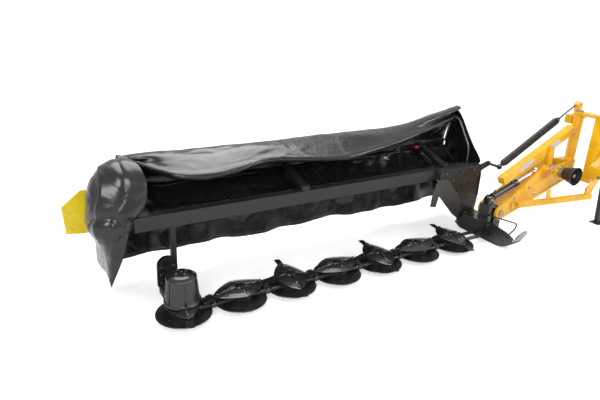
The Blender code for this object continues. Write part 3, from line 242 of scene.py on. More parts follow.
def cloth_skin_group():
    """Weave under the coating, crumple marks, rubbed creases and hem stitches, on the cloth's own UV."""
    tree, given, out = new_group("cloth_skin", [("Threads", 620.0), ("Crumple", 1.0)],
                                 ["Height", "Crease", "Stitch", "Mottle"])
    where = put(tree, "ShaderNodeUVMap", uv_map="cloth").outputs["UV"]
    over = put(tree, "ShaderNodeTexWave", {"Vector": where, "Scale": given["Threads"]},
               bands_direction="X").outputs["Fac"]
    under = put(tree, "ShaderNodeTexWave", {"Vector": where, "Scale": given["Threads"]},
                bands_direction="Y").outputs["Fac"]
    weave = maths(tree, "MULTIPLY", over, under)
    bent = put(tree, "ShaderNodeTexNoise", {"Vector": where, "Scale": 3.2, "Detail": 2.0})
    moved = put(tree, "ShaderNodeVectorMath", {0: where, 1: bent.outputs["Color"]}, operation="ADD")
    cells = put(tree, "ShaderNodeTexVoronoi", {"Vector": moved.outputs[0], "Scale": 5.5},
                feature="DISTANCE_TO_EDGE", voronoi_dimensions="2D").outputs["Distance"]
    line = spread(tree, cells, 0.0, 0.055, 1.0, 0.0)
    small = put(tree, "ShaderNodeTexVoronoi", {"Vector": moved.outputs[0], "Scale": 17.0},
                feature="DISTANCE_TO_EDGE", voronoi_dimensions="2D").outputs["Distance"]
    fine = spread(tree, small, 0.0, 0.10, 1.0, 0.0)
    patchy = spread(tree, speckle(tree, where, 2.3, 3.0), 0.42, 0.62)
    crease = maths(tree, "MULTIPLY", maths(tree, "ADD", line, maths(tree, "MULTIPLY", fine, 0.45)),
                   patchy, True)
    rolls = speckle(tree, where, 11.0, 3.0, 0.5, 1.2)
    crumple = maths(tree, "MULTIPLY", maths(tree, "ADD", maths(tree, "MULTIPLY", crease, 0.5), rolls),
                    given["Crumple"])
    height = maths(tree, "ADD", maths(tree, "MULTIPLY", crumple, 0.0032),
                   maths(tree, "MULTIPLY", weave, 0.00010))
    hem = put(tree, "ShaderNodeAttribute", attribute_name="hem").outputs["Fac"]
    parts = put(tree, "ShaderNodeSeparateXYZ", {0: where}).outputs
    along = maths(tree, "ADD", parts["X"], parts["Y"])
    dash = maths(tree, "LESS_THAN", maths(tree, "FRACT", maths(tree, "DIVIDE", along, 0.007)), 0.62)
    row = maths(tree, "LESS_THAN", maths(tree, "ABSOLUTE", maths(tree, "SUBTRACT", hem, 0.020)), 0.0011)
    stitch = maths(tree, "MULTIPLY", dash, row)
    folded = spread(tree, hem, 0.0225, 0.0255, 0.0016, 0.0)
    height = maths(tree, "ADD", height, folded)
    height = maths(tree, "ADD", height, maths(tree, "MULTIPLY", stitch, 0.0005))
    tree.links.new(height, out["Height"])
    tree.links.new(crease, out["Crease"])
    tree.links.new(stitch, out["Stitch"])
    tree.links.new(spread(tree, speckle(tree, where, 4.0, 6.0, 0.65), 0.3, 0.7), out["Mottle"])
    return tree


def machined_group():
    """Fine turning marks and handling stains of bare steel."""
    tree, given, out = new_group("machined", [("Scale", 900.0)], ["Height", "Stain"])
    where = put(tree, "ShaderNodeTexCoord").outputs["Object"]
    stretched = put(tree, "ShaderNodeMapping", {"Vector": where, "Scale": (0.15, 1.0, 1.0)}).outputs[0]
    tree.links.new(speckle(tree, stretched, given["Scale"], 2.0), out["Height"])
    tree.links.new(spread(tree, speckle(tree, where, 40.0, 7.0, 0.7), 0.4, 0.7), out["Stain"])
    return tree


GROUPS = {}
FINISHES = {}


def use(tree, name, values=None):
    made = tree.nodes.new("ShaderNodeGroup")
    made.node_tree = GROUPS[name]
    for key, value in (values or {}).items():
        made.inputs[key].default_value = value
    return made.outputs


def new_finish(name, roughness, metallic=0.0, coat=0.0, coat_roughness=0.1):
    mat = bpy.data.materials.new(name)
    mat.use_nodes = True
    tree = mat.node_tree
    shader = tree.nodes["Principled BSDF"]
    shader.inputs["Roughness"].default_value = roughness
    shader.inputs["Metallic"].default_value = metallic
    shader.inputs["Coat Weight"].default_value = coat
    shader.inputs["Coat Roughness"].default_value = coat_roughness
    FINISHES[name] = mat
    return tree, shader


def rgba(colour, light=1.0):
    return (*[min(1.0, part * light) for part in colour], 1.0)


def bump(tree, shader, height, strength, distance):
    made = put(tree, "ShaderNodeBump", {"Strength": strength, "Distance": distance, "Height": height})
    tree.links.new(made.outputs[0], shader.inputs["Normal"])


def paint_finish(name, colour, under, gloss, wear, dust, reach, coat=0.0, peel=0.25):
    """Sprayed paint with rubbed edges and some dust."""
    tree, shader = new_finish(name, gloss, 0.0, coat, 0.08)
    skin = use(tree, "paint_skin")
    edges = use(tree, "rubbed_edges", {"Cover": wear})["Mask"]
    dusty = use(tree, "settled_dust", {"Amount": dust, "Reach": reach})["Mask"]
    toned = blend_colour(tree, skin["Mottle"], rgba(colour, 0.86), rgba(colour, 1.14))
    worn = blend_colour(tree, edges, toned, rgba(under))
    dusted = blend_colour(tree, dusty, worn, (0.20, 0.17, 0.13, 1.0))
    tree.links.new(dusted, shader.inputs["Base Color"])
    rough = maths(tree, "ADD", spread(tree, skin["Mottle"], 0.0, 1.0, gloss * 0.8, gloss * 1.25),
                  maths(tree, "MULTIPLY", dusty, 0.45), True)
    tree.links.new(rough, shader.inputs["Roughness"])
    bump(tree, shader, skin["Height"], peel, 0.0006)


def metal_finish(name, colour, gloss, stain_colour, stain=0.5):
    tree, shader = new_finish(name, gloss, 1.0)
    marks = use(tree, "machined")
    amount = maths(tree, "MULTIPLY", marks["Stain"], stain)
    tree.links.new(blend_colour(tree, amount, rgba(colour), rgba(stain_colour)), shader.inputs["Base Color"])
    tree.links.new(spread(tree, marks["Stain"], 0.0, 1.0, gloss * 0.75, gloss * 1.5),
                   shader.inputs["Roughness"])
    bump(tree, shader, marks["Height"], 0.15, 0.0003)


def cloth_finish(name, colour, gloss, crumple):
    """Coated cloth: weave under a glossy skin, crumpled, with paler rubbed creases."""
    tree, shader = new_finish(name, gloss, 0.0, 0.35, 0.12)
    skin = use(tree, "cloth_skin", {"Crumple": crumple})
    toned = blend_colour(tree, skin["Mottle"], rgba(colour, 0.8), rgba(colour, 1.35))
    rubbed = blend_colour(tree, maths(tree, "MULTIPLY", skin["Crease"], 0.35), toned,
                          (0.045, 0.045, 0.047, 1))
    sewn = blend_colour(tree, maths(tree, "MULTIPLY", skin["Stitch"], 0.8), rubbed, (0.05, 0.05, 0.05, 1))
    tree.links.new(sewn, shader.inputs["Base Color"])
    tree.links.new(spread(tree, skin["Mottle"], 0.0, 1.0, gloss * 0.78, gloss * 1.3),
                   shader.inputs["Roughness"])
    bump(tree, shader, skin["Height"], 1.0, 1.0)


def plastic_finish(name, colour, gloss):
    tree, shader = new_finish(name, gloss, 0.0, 0.15, 0.1)
    skin = use(tree, "paint_skin", {"Scale": 900.0})
    tree.links.new(blend_colour(tree, skin["Mottle"], rgba(colour, 0.85), rgba(colour, 1.2)),
                   shader.inputs["Base Color"])
    tree.links.new(spread(tree, skin["Mottle"], 0.0, 1.0, gloss * 0.8, gloss * 1.2),
                   shader.inputs["Roughness"])
    bump(tree, shader, skin["Height"], 0.35, 0.0004)


# ---------------------------------------------------------------- modelling helpers
def unpick():
    active = bpy.context.view_layer.objects.active
    if active is not None and active.mode != "OBJECT":
        bpy.ops.object.mode_set(mode="OBJECT")
    bpy.ops.object.select_all(action="DESELECT")


def pick(*pieces):
    unpick()
    for piece in pieces:
        piece.select_set(True)
    bpy.context.view_layer.objects.active = pieces[-1]


def aim(direction):
    return Vector(direction).to_track_quat("Z", "Y")


def place(spot, direction=UP, size=1.0, spin=0.0):
    """Matrix that puts a part modelled at the origin, pointing up, at a spot."""
    turn = aim(direction).to_matrix().to_4x4() @ Matrix.Rotation(spin, 4, "Z")
    return Matrix.Translation(spot) @ turn @ Matrix.Scale(size, 4)


def apply_place(piece):
    pick(piece)
    bpy.ops.object.transform_apply(location=True, rotation=True, scale=True)
    return piece


def choose_faces(piece, test):
    """Go into edit mode with the faces selected whose centre and normal pass the test."""
    pick(piece)
    bpy.context.tool_settings.mesh_select_mode = (False, False, True)
    bpy.ops.object.mode_set(mode="EDIT")
    bpy.ops.mesh.select_all(action="DESELECT")
    bpy.ops.object.mode_set(mode="OBJECT")
    for face in piece.data.polygons:
        face.select = test(face.center, face.normal)
    bpy.ops.object.mode_set(mode="EDIT")


def bevel_all(piece, width, segments=1):
    """Round every edge that is not almost flat."""
    apply_place(piece)
    bpy.ops.object.modifier_add(type="BEVEL")
    rounding = piece.modifiers[-1]
    rounding.width = width
    rounding.segments = segments
    rounding.limit_method = "ANGLE"
    rounding.angle_limit = math.radians(35)
    bpy.ops.object.modifier_apply(modifier=rounding.name)
    return piece


def round_bar(start, end, radius, sides=12, rounding=0.0, end_radius=None):
    """Straight round bar between two points."""
    start, end = Vector(start), Vector(end)
    unpick()
    bpy.ops.mesh.primitive_cone_add(
        vertices=sides, radius1=radius, radius2=radius if end_radius is None else end_radius,
        depth=(end - start).length, location=(start + end) / 2,
        rotation=aim(end - start).to_euler())
    made = apply_place(bpy.context.object)
    return bevel_all(made, rounding) if rounding else made


def plate(size, middle, turn=(0, 0, 0), rounding=0.0012):
    """Flat plate or block with softened edges."""
    unpick()
    bpy.ops.mesh.primitive_cube_add(size=1, location=middle, rotation=turn)
    bpy.context.object.scale = size
    return bevel_all(bpy.context.object, rounding, 2)


def ring(middle, direction, radius, wire, sides=24, around=8):
    unpick()
    bpy.ops.mesh.primitive_torus_add(
        location=middle, rotation=aim(direction).to_euler(), major_radius=radius, minor_radius=wire,
        major_segments=sides, minor_segments=around)
    return apply_place(bpy.context.object)


def joined(pieces):
    if len(pieces) > 1:
        pick(*pieces)
        bpy.ops.object.join()
    return bpy.context.view_layer.objects.active if len(pieces) > 1 else pieces[0]


def copy_at(master, where):
    """Copy of a piece, with its own mesh moved by a matrix."""
    twin = master.copy()
    twin.data = master.data.copy()
    twin.data.transform(where)
    bpy.context.scene.collection.objects.link(twin)
    return twin


def copies(master, places):
    """One piece with a copy of the master's mesh at each place; the master goes."""
    made = [copy_at(master, where) for where in places]
    bpy.data.objects.remove(master)
    return joined(made)


def finished(piece, name, look, body):
    """Name, shade, paint and hang a piece whose shape is done."""
    apply_place(piece)
    piece.name = name
    piece.data.name = name
    bpy.ops.object.shade_smooth_by_angle(angle=math.radians(38))
    piece.data.materials.clear()
    piece.data.materials.append(FINISHES[look])
    if body:
        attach(piece, body)
    return piece


def facing(way, y, places):
    """Spots on a face square to Y, from (x, z) pairs."""
    return [(at(x, y, z), way) for x, z in places]


def around(count, radius, first=0.0):
    """Evenly spaced points of a circle about the origin, as pairs."""
    turns = [first + 2 * math.pi / count * i for i in range(count)]
    return [(radius * math.cos(a), radius * math.sin(a)) for a in turns]


def bolt_master(head=1.0):
    """Hexagon head with a chamfer, on a washer, in head radii; it points up from its seat."""
    washer = round_bar((0, 0, 0), (0, 0, 0.20 * head), 1.35 * head, 16, 0.05 * head)
    unpick()
    bpy.ops.mesh.primitive_cylinder_add(vertices=6, radius=head, depth=0.62 * head,
                                        location=(0, 0, 0.51 * head))
    body = apply_place(bpy.context.object)
    choose_faces(body, lambda centre, normal: normal.z > 0.9)
    bpy.ops.mesh.inset(thickness=0.14 * head, depth=0.10 * head)
    bpy.ops.object.mode_set(mode="OBJECT")
    return joined([washer, body])


def bolts(spots, size=1.0):
    """Bolts at (point, direction) spots, each turned a little differently."""
    head = sizes().bolt_head * size
    places = [place(spot, way, 1.0, 0.7 * i) for i, (spot, way) in enumerate(spots)]
    return copies(bolt_master(head), places)


def rivet_master(radius):
    unpick()
    bpy.ops.mesh.primitive_uv_sphere_add(segments=12, ring_count=8, radius=radius)
    dome = bpy.context.object
    bpy.context.tool_settings.mesh_select_mode = (True, False, False)
    bpy.ops.object.mode_set(mode="EDIT")
    bpy.ops.mesh.select_all(action="SELECT")
    bpy.ops.mesh.bisect(plane_co=(0, 0, -radius * 0.1), plane_no=(0, 0, 1), use_fill=True, clear_inner=True)
    bpy.ops.mesh.select_all(action="SELECT")
    bpy.ops.transform.resize(value=(1, 1, 0.55))
    bpy.ops.object.mode_set(mode="OBJECT")
    return apply_place(dome)


def rivets(spots, radius=0.004):
    return copies(rivet_master(radius), [place(spot, way) for spot, way in spots])


def weld(paths, width=0.006):
    """Weld beads along straight runs, as a row of overlapping flat drops."""
    unpick()
    bpy.ops.mesh.primitive_ico_sphere_add(subdivisions=2, radius=width / 2)
    drop = bpy.context.object
    bpy.ops.object.mode_set(mode="EDIT")
    bpy.ops.mesh.select_all(action="SELECT")
    bpy.ops.transform.resize(value=(1.0, 1.0, 0.6))
    bpy.ops.object.mode_set(mode="OBJECT")
    apply_place(drop)
    places = []
    for start, end in paths:
        start, end = Vector(start), Vector(end)
        count = max(2, int((end - start).length / (width * 0.52)))
        for i in range(count + 1):
            spot = start.lerp(end, i / count)
            places.append(place(spot, end - start, 0.92 + 0.10 * ((i * 7) % 5) / 5, i * 0.9))
    return copies(drop, places)


def seams(runs, width, name, look, body):
    """Finished weld beads between pairs of (x, y, z) places."""
    beads = weld([(at(*start), at(*end)) for start, end in runs], width)
    return finished(beads, name, look, body)


# ---------------------------------------------------------------- cloth helpers
def through(points, count):
    """Evenly spaced points of a smooth curve through the given ones."""
    given = np.array(points, float)
    steps = np.linalg.norm(np.diff(given, axis=0), axis=1)
    knots = np.concatenate([[0], np.cumsum(np.maximum(steps, 1e-5))])
    slopes = np.gradient(given, knots, axis=0)
    where = np.linspace(0, knots[-1], count)
    seat = np.clip(np.searchsorted(knots, where, side="right") - 1, 0, len(knots) - 2)
    span = (knots[seat + 1] - knots[seat])[:, None]
    t = ((where - knots[seat]))[:, None] / span
    a, b = given[seat], given[seat + 1]
    m, n = slopes[seat] * span, slopes[seat + 1] * span
    return (a * (2 * t**3 - 3 * t**2 + 1) + m * (t**3 - 2 * t**2 + t)
            + b * (-2 * t**3 + 3 * t**2) + n * (t**3 - t**2))


def net(rows, across, down):
    """Smooth grid of points through rows of control points."""
    wide = np.array([through(row, across) for row in rows])
    return np.array([through(wide[:, i], down) for i in range(across)]).transpose(1, 0, 2)


def normals_of(grid):
    right = np.gradient(grid, axis=1)
    down = np.gradient(grid, axis=0)
    normal = np.cross(right, down)
    return normal / np.maximum(np.linalg.norm(normal, axis=2, keepdims=True), 1e-9)


def lengths(grid):
    """Distance along the cloth from its first column and its first row."""
    across = np.concatenate([np.zeros((grid.shape[0], 1)),
                             np.cumsum(np.linalg.norm(np.diff(grid, axis=1), axis=2), axis=1)], axis=1)
    down = np.concatenate([np.zeros((1, grid.shape[1])),
                           np.cumsum(np.linalg.norm(np.diff(grid, axis=0), axis=2), axis=0)], axis=0)
    return across, down


def crumple(u, v, seed, stretch=(1.0, 1.0)):
    """Height from 0 to 1 of cloth that was folded and crushed: flats with sharp ridges between."""
    spot = Vector((u * 4.2 * stretch[0] + noise.noise(Vector((u * 3, v * 3, seed))) * 0.9,
                   v * 4.2 * stretch[1] + noise.noise(Vector((v * 3, u * 3, seed + 9))) * 0.9, seed))
    near = noise.voronoi(spot)[0]
    ridge = math.exp(-((near[1] - near[0]) / 0.16) ** 2)
    small = noise.noise(Vector((u * 13 * stretch[0], v * 13 * stretch[1], seed + 4)))
    patch = 0.5 + 0.5 * noise.noise(Vector((u * 1.4, v * 2.1, seed + 2)))
    return ridge * (0.35 + 0.65 * patch) + 0.30 * small + 0.35 * near[0]


def shape_cloth(name, grid, lift, seed, depth, stretch=(1.0, 1.0)):
    """Make a curtain of a grid: creases, thickness, UV in metres and distance to the hem."""
    across, down = lengths(grid)
    width, height = across[:, -1].mean(), down[-1].mean()
    rows, cols = grid.shape[:2]
    rise = np.zeros((rows, cols))
    for i in range(rows):
        for j in range(cols):
            rise[i, j] = crumple(across[i, j], down[i, j], seed, stretch) * depth
            rise[i, j] += lift(across[i, j] / width, down[i, j] / height)
    grid = grid + normals_of(grid) * rise[:, :, None]
    mesh = bpy.data.meshes.new(name)
    faces = [(i * cols + j, i * cols + j + 1, (i + 1) * cols + j + 1, (i + 1) * cols + j)
             for i in range(rows - 1) for j in range(cols - 1)]
    mesh.from_pydata([tuple(spot) for spot in grid.reshape(-1, 3)], [], faces)
    hem = np.minimum(np.minimum(across, across[:, -1:] - across), np.minimum(down, down[-1:] - down))
    mesh.attributes.new("hem", "FLOAT", "POINT").data.foreach_set("value", hem.astype(np.float32).ravel())
    layer = mesh.uv_layers.new(name="cloth")
    flat = np.stack([across.ravel(), down.ravel()], axis=1)
    corners = np.zeros(len(mesh.loops), np.int32)
    mesh.loops.foreach_get("vertex_index", corners)
    layer.data.foreach_set("uv", flat[corners].astype(np.float32).ravel())
    piece = bpy.data.objects.new(name, mesh)
    bpy.context.scene.collection.objects.link(piece)
    pick(piece)
    bpy.ops.object.modifier_add(type="SOLIDIFY")
    wall = piece.modifiers[-1]
    wall.thickness = sizes().cloth_thickness
    wall.offset = 0
    bpy.ops.object.modifier_apply(modifier=wall.name)
    bpy.ops.object.shade_smooth()
    piece.data.materials.clear()
    return piece


def hang_cloth(piece, look, node):
    piece.data.materials.append(FINISHES[look])
    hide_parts(node)
    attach(piece, "cutterbar")


# ---------------------------------------------------------------- operators
class MOWER_OT_stage(bpy.types.Operator):
    """Pale floor, soft studio lights and the camera"""

    bl_idname = "mower.stage"
    bl_label = "Stage, lights and camera"

    def execute(self, context):
        unpick()
        bpy.ops.mesh.primitive_plane_add(size=60, location=(0, 0, -0.001))
        floor = apply_place(bpy.context.object)
        floor.name = "floor"
        mat = bpy.data.materials.new("floor")
        mat.use_nodes = True
        shader = mat.node_tree.nodes["Principled BSDF"]
        shader.inputs["Base Color"].default_value = (0.86, 0.86, 0.86, 1)
        shader.inputs["Roughness"].default_value = 0.9
        rays = put(mat.node_tree, "ShaderNodeLightPath")
        mat.node_tree.links.new(rays.outputs["Is Camera Ray"], shader.inputs["Emission Color"])
        shader.inputs["Emission Strength"].default_value = 0.55
        floor.data.materials.append(mat)
        world = context.scene.world or bpy.data.worlds.new("studio")
        context.scene.world = world
        world.use_nodes = True
        back = world.node_tree.nodes["Background"]
        back.inputs["Color"].default_value = (1.0, 1.0, 1.0, 1)
        rays = put(world.node_tree, "ShaderNodeLightPath")
        seen = maths(world.node_tree, "MULTIPLY", rays.outputs["Is Camera Ray"], 0.55)
        mirrored = maths(world.node_tree, "MULTIPLY", rays.outputs["Is Glossy Ray"], 0.20)
        extra = maths(world.node_tree, "ADD", seen, mirrored)
        world.node_tree.links.new(maths(world.node_tree, "ADD", extra, 0.50), back.inputs["Strength"])
        context.scene.view_settings.view_transform = "Standard"
        for name, spot, target, wide, power in (
                ("overhead", (-0.6, 2.2, 5.0), (-0.2, 0.2, 0.6), 4.2, 230.0),
                ("front_left", (-4.8, -4.2, 3.4), (-0.4, 0.0, 0.3), 2.6, 150.0),
                ("right", (4.2, -3.2, 3.6), (1.2, 0.0, 0.6), 2.2, 120.0)):
            data = bpy.data.lights.new(name, "AREA")
            data.size = wide
            data.energy = power
            lamp = bpy.data.objects.new(name, data)
            lamp.location = spot
            way = Vector(target) - Vector(spot)
            lamp.rotation_euler = way.to_track_quat("-Z", "Y").to_euler()
            context.scene.collection.objects.link(lamp)
        data = bpy.data.cameras.new("camera")
        data.sensor_width = 36
        data.lens = 31.52
        data.clip_end = 100
        camera = bpy.data.objects.new("camera", data)
        yaw, pitch, roll = 0.5364, 0.3668, 0.0392
        ahead = Vector((math.sin(yaw) * math.cos(pitch), math.cos(yaw) * math.cos(pitch), -math.sin(pitch)))
        side = Vector((math.cos(yaw), -math.sin(yaw), 0))
        over = side.cross(ahead)
        right = side * math.cos(roll) + over * math.sin(roll)
        top = over * math.cos(roll) - side * math.sin(roll)
        turn = Matrix((right, top, -ahead)).transposed().to_4x4()
        camera.matrix_world = Matrix.Translation(at(-2.0713, -2.9097, 1.9804)) @ turn
        context.scene.collection.objects.link(camera)
        context.scene.camera = camera
        return {"FINISHED"}


class MOWER_OT_finishes(bpy.types.Operator):
    """Make the paints, plastics, metals and cloth, and put them on the frame"""

    bl_idname = "mower.finishes"
    bl_label = "Finishes"

    by_slot = {"black_satin": "satin_black", "black_gloss": "gloss_black", "yellow": "machine_yellow",
               "vinyl": "coated_cloth", "steel": "plated_steel", "chrome": "chromed_rod",
               "spring_black": "spring_black", "black_plastic": "moulded_black",
               "red_plastic": "red_grip"}
    special = {"marker_board": "marker_yellow", "inner_shield": "worn_grey", "shoe_nose": "plated_steel",
               "inner_hoop": "worn_steel", "inner_shoe": "worn_steel", "inner_gusset": "charcoal",
               "spine": "charcoal", "cylinder_barrel": "cylinder_black"}

    def execute(self, context):
        makers = (paint_skin_group, rubbed_edges_group, settled_dust_group, cloth_skin_group, machined_group)
        for maker in makers:
            tree = maker()
            GROUPS[tree.name] = tree
        tint = colours()
        grey = (0.16, 0.16, 0.165)
        paint_finish("satin_black", [c * 1.25 for c in tint.black], grey, 0.36, 0.42, 0.22, 0.5)
        paint_finish("gloss_black", tint.black, grey, 0.20, 0.34, 0.10, 0.3, 0.5)
        paint_finish("cylinder_black", [c * 2.2 for c in tint.black], grey, 0.26, 0.4, 0.12, 0.9, 0.3)
        paint_finish("charcoal", [c * 1.7 for c in tint.black], grey, 0.34, 0.40, 0.16, 0.7)
        paint_finish("worn_grey", (0.062, 0.062, 0.055), (0.20, 0.20, 0.19), 0.42, 0.5, 0.25, 0.6)
        paint_finish("machine_yellow", tint.yellow, (0.30, 0.26, 0.20), 0.26, 0.36, 0.14, 1.2, 0.35)
        paint_finish("hub_orange", (0.78, 0.22, 0.006), (0.30, 0.22, 0.16), 0.28, 0.4, 0.1, 1.0, 0.3)
        paint_finish("marker_yellow", tint.marker, (0.5, 0.45, 0.3), 0.34, 0.12, 0.04, 0.9, 0.1)
        paint_finish("blank_patch", (0.62, 0.63, 0.65), (0.4, 0.4, 0.4), 0.30, 0.3, 0.1, 1.2, 0.2, 0.1)
        metal_finish("plated_steel", tint.steel, 0.30, (0.20, 0.17, 0.13), 0.45)
        metal_finish("bare_steel", [c * 1.35 for c in tint.steel], 0.28, (0.24, 0.22, 0.19), 0.4)
        metal_finish("worn_steel", [c * 0.40 for c in tint.steel], 0.38, (0.07, 0.06, 0.05), 0.7)
        metal_finish("chromed_rod", (0.78, 0.78, 0.80), 0.09, (0.45, 0.45, 0.45), 0.15)
        metal_finish("zinc", (0.56, 0.55, 0.50), 0.30, (0.34, 0.31, 0.24), 0.5)
        paint_finish("spring_black", [c * 1.4 for c in tint.black], (0.24, 0.24, 0.24), 0.24, 0.5, 0.08,
                     1.0, 0.4)
        plastic_finish("moulded_black", (0.018, 0.018, 0.020), 0.42)
        plastic_finish("red_grip", tint.knob, 0.24)
        cloth_finish("coated_cloth", tint.cloth, 0.21, 1.0)
        cloth_finish("smooth_cloth", tint.cloth, 0.19, 0.7)
        record = frame["record"]
        slots = {part["node"]: part["material_slot"] for part in record["subparts"]}
        for name, piece in frame["nodes"].items():
            slot = slots.get(name)
            look = self.special.get(name) or self.by_slot.get(slot)
            if look is None:
                raise RuntimeError("no finish for %s, slot %s" % (name, slot))
            if not piece.material_slots:
                piece.data.materials.append(FINISHES[look])
            for used in piece.material_slots:
                used.material = FINISHES[look]
        return {"FINISHED"}


class MOWER_OT_flap(bpy.types.Operator):
    """Front curtain folded back over the guard frame"""

    bl_idname = "mower.flap"
    bl_label = "Folded flap"

    edge = ((-1.42, 0.56, 0.925), (-1.30, 0.50, 0.905), (-1.19, 0.41, 0.875), (-1.09, 0.32, 0.855),
            (-0.89, 0.275, 0.842), (-0.66, 0.30, 0.850), (-0.39, 0.365, 0.870), (-0.16, 0.335, 0.860),
            (0.05, 0.300, 0.848), (0.26, 0.285, 0.842), (0.55, 0.325, 0.856), (0.85, 0.385, 0.880),
            (1.10, 0.430, 0.915), (1.36, 0.480, 0.955), (1.58, 0.535, 0.985), (1.705, 0.575, 0.995))

    def execute(self, context):
        rail_y, rail_z = RAIL
        behind, ridge, middle, near, rim, lip = [], [], [], [], [], []
        under, hook = [], []
        for x, y, z in self.edge:
            rise = max(0.0, (x - 0.8) / 0.9)
            top = 0.950 + 0.140 * rise ** 1.4
            sway = 0.010 * math.sin(4.1 * x) + 0.006 * math.sin(9.7 * x + 1)
            hook.append(at(x, rail_y + 0.0255, rail_z - 0.012))
            under.append(at(x, rail_y + 0.0250, rail_z + 0.022))
            behind.append(at(x, 0.672 + sway * 0.3, (rail_z + top) / 2 + 0.012))
            ridge.append(at(x, 0.612, top - 0.004 + sway * 0.4))
            middle.append(at(x, 0.560 * 0.5 + max(y, 0.45) * 0.5, top - 0.014 + sway * 0.4))
            near.append(at(x, y + 0.055, z + 0.030))
            rim.append(at(x, y, z))
            lip.append(at(x, y + 0.024, z - 0.030))
        grid = net([hook, under, behind, ridge, middle, near, rim, lip], 250, 54)

        def lift(u, v):
            roll = math.sin(u * 31 + math.sin(v * 5) * 1.5) * 0.004 * max(0.0, v - 0.45)
            return roll - 0.010 * math.exp(-((v - 0.62) / 0.12) ** 2) * (0.5 + 0.5 * math.sin(u * 23))

        piece = shape_cloth("folded_front_curtain", grid, lift, 3.0, -sizes().crease_depth * 0.75, (0.8, 1.5))
        hang_cloth(piece, "smooth_cloth", "folded_flap")
        return {"FINISHED"}


class MOWER_OT_deck(bpy.types.Operator):
    """Cloth that sags between the spine and the rail"""

    bl_idname = "mower.deck"
    bl_label = "Deck cloth"

    def execute(self, context):
        rows = []
        xs = np.linspace(-1.400, 1.690, 17)
        for share in (0.0, 0.22, 0.5, 0.78, 1.0):
            row = []
            for x in xs:
                bay = min(abs(x - arm) for arm in CROSS_ARMS)
                deep = 0.020 + 0.022 * min(1.0, bay / 0.45)
                sag = deep * math.sin(math.pi * share)
                row.append(at(x, 0.3845 + 0.297 * share, 0.590 + 0.105 * share - sag))
            rows.append(row)
        grid = net(rows, 250, 34)

        def lift(u, v):
            roll = 0.011 * math.sin(u * 47 + v * 5 + 2 * math.sin(u * 13)) + 0.004 * math.sin(u * 113 - v * 7)
            return (roll - 0.012) * math.sin(math.pi * v)

        piece = shape_cloth("sagging_deck_cloth", grid, lift, 11.0, sizes().crease_depth * 2.6, (0.7, 1.1))
        hang_cloth(piece, "coated_cloth", "deck_cloth")
        return {"FINISHED"}


class MOWER_OT_rear_curtain(bpy.types.Operator):
    """Curtain that hangs from the rear rail"""

    bl_idname = "mower.rear_curtain"
    bl_label = "Rear curtain"

    def execute(self, context):
        xs = np.linspace(-1.586, 1.698, 46)
        rows = []
        for share in (0.0, 0.05, 0.16, 0.30, 0.5, 0.75, 1.0):
            row = []
            for i, x in enumerate(xs):
                ends = min(1.0, (x + 1.586) / 0.15, (1.698 - x) / 0.15)
                wave = 0.5 + 0.5 * math.sin(x * 11.3 + 0.8 * math.sin(x * 3.1))
                wave = 0.7 * wave + 0.3 * (0.5 + 0.5 * math.sin(x * 23.0 + 1.0))
                forward = 0.055 * share ** 1.3 * wave * max(0.0, ends)
                hem = 0.158 + 0.012 * math.sin(x * 5.0)
                top = 0.7215 if x < -1.47 else 0.7520
                back = 0.0 if x < -1.47 else 0.0170 * max(0.0, 1 - share * 4.5)
                z = top + (hem - top) * share
                row.append(at(x, 0.7035 - forward + back, z))
            rows.append(row)
        grid = net(rows, 280, 50)

        def lift(u, v):
            return 0.003 * math.sin(u * 60 + v * 3) * v

        piece = shape_cloth("hanging_rear_curtain", grid, lift, 23.0, -sizes().crease_depth, (0.9, 1.0))
        hang_cloth(piece, "coated_cloth", "rear_curtain")
        return {"FINISHED"}


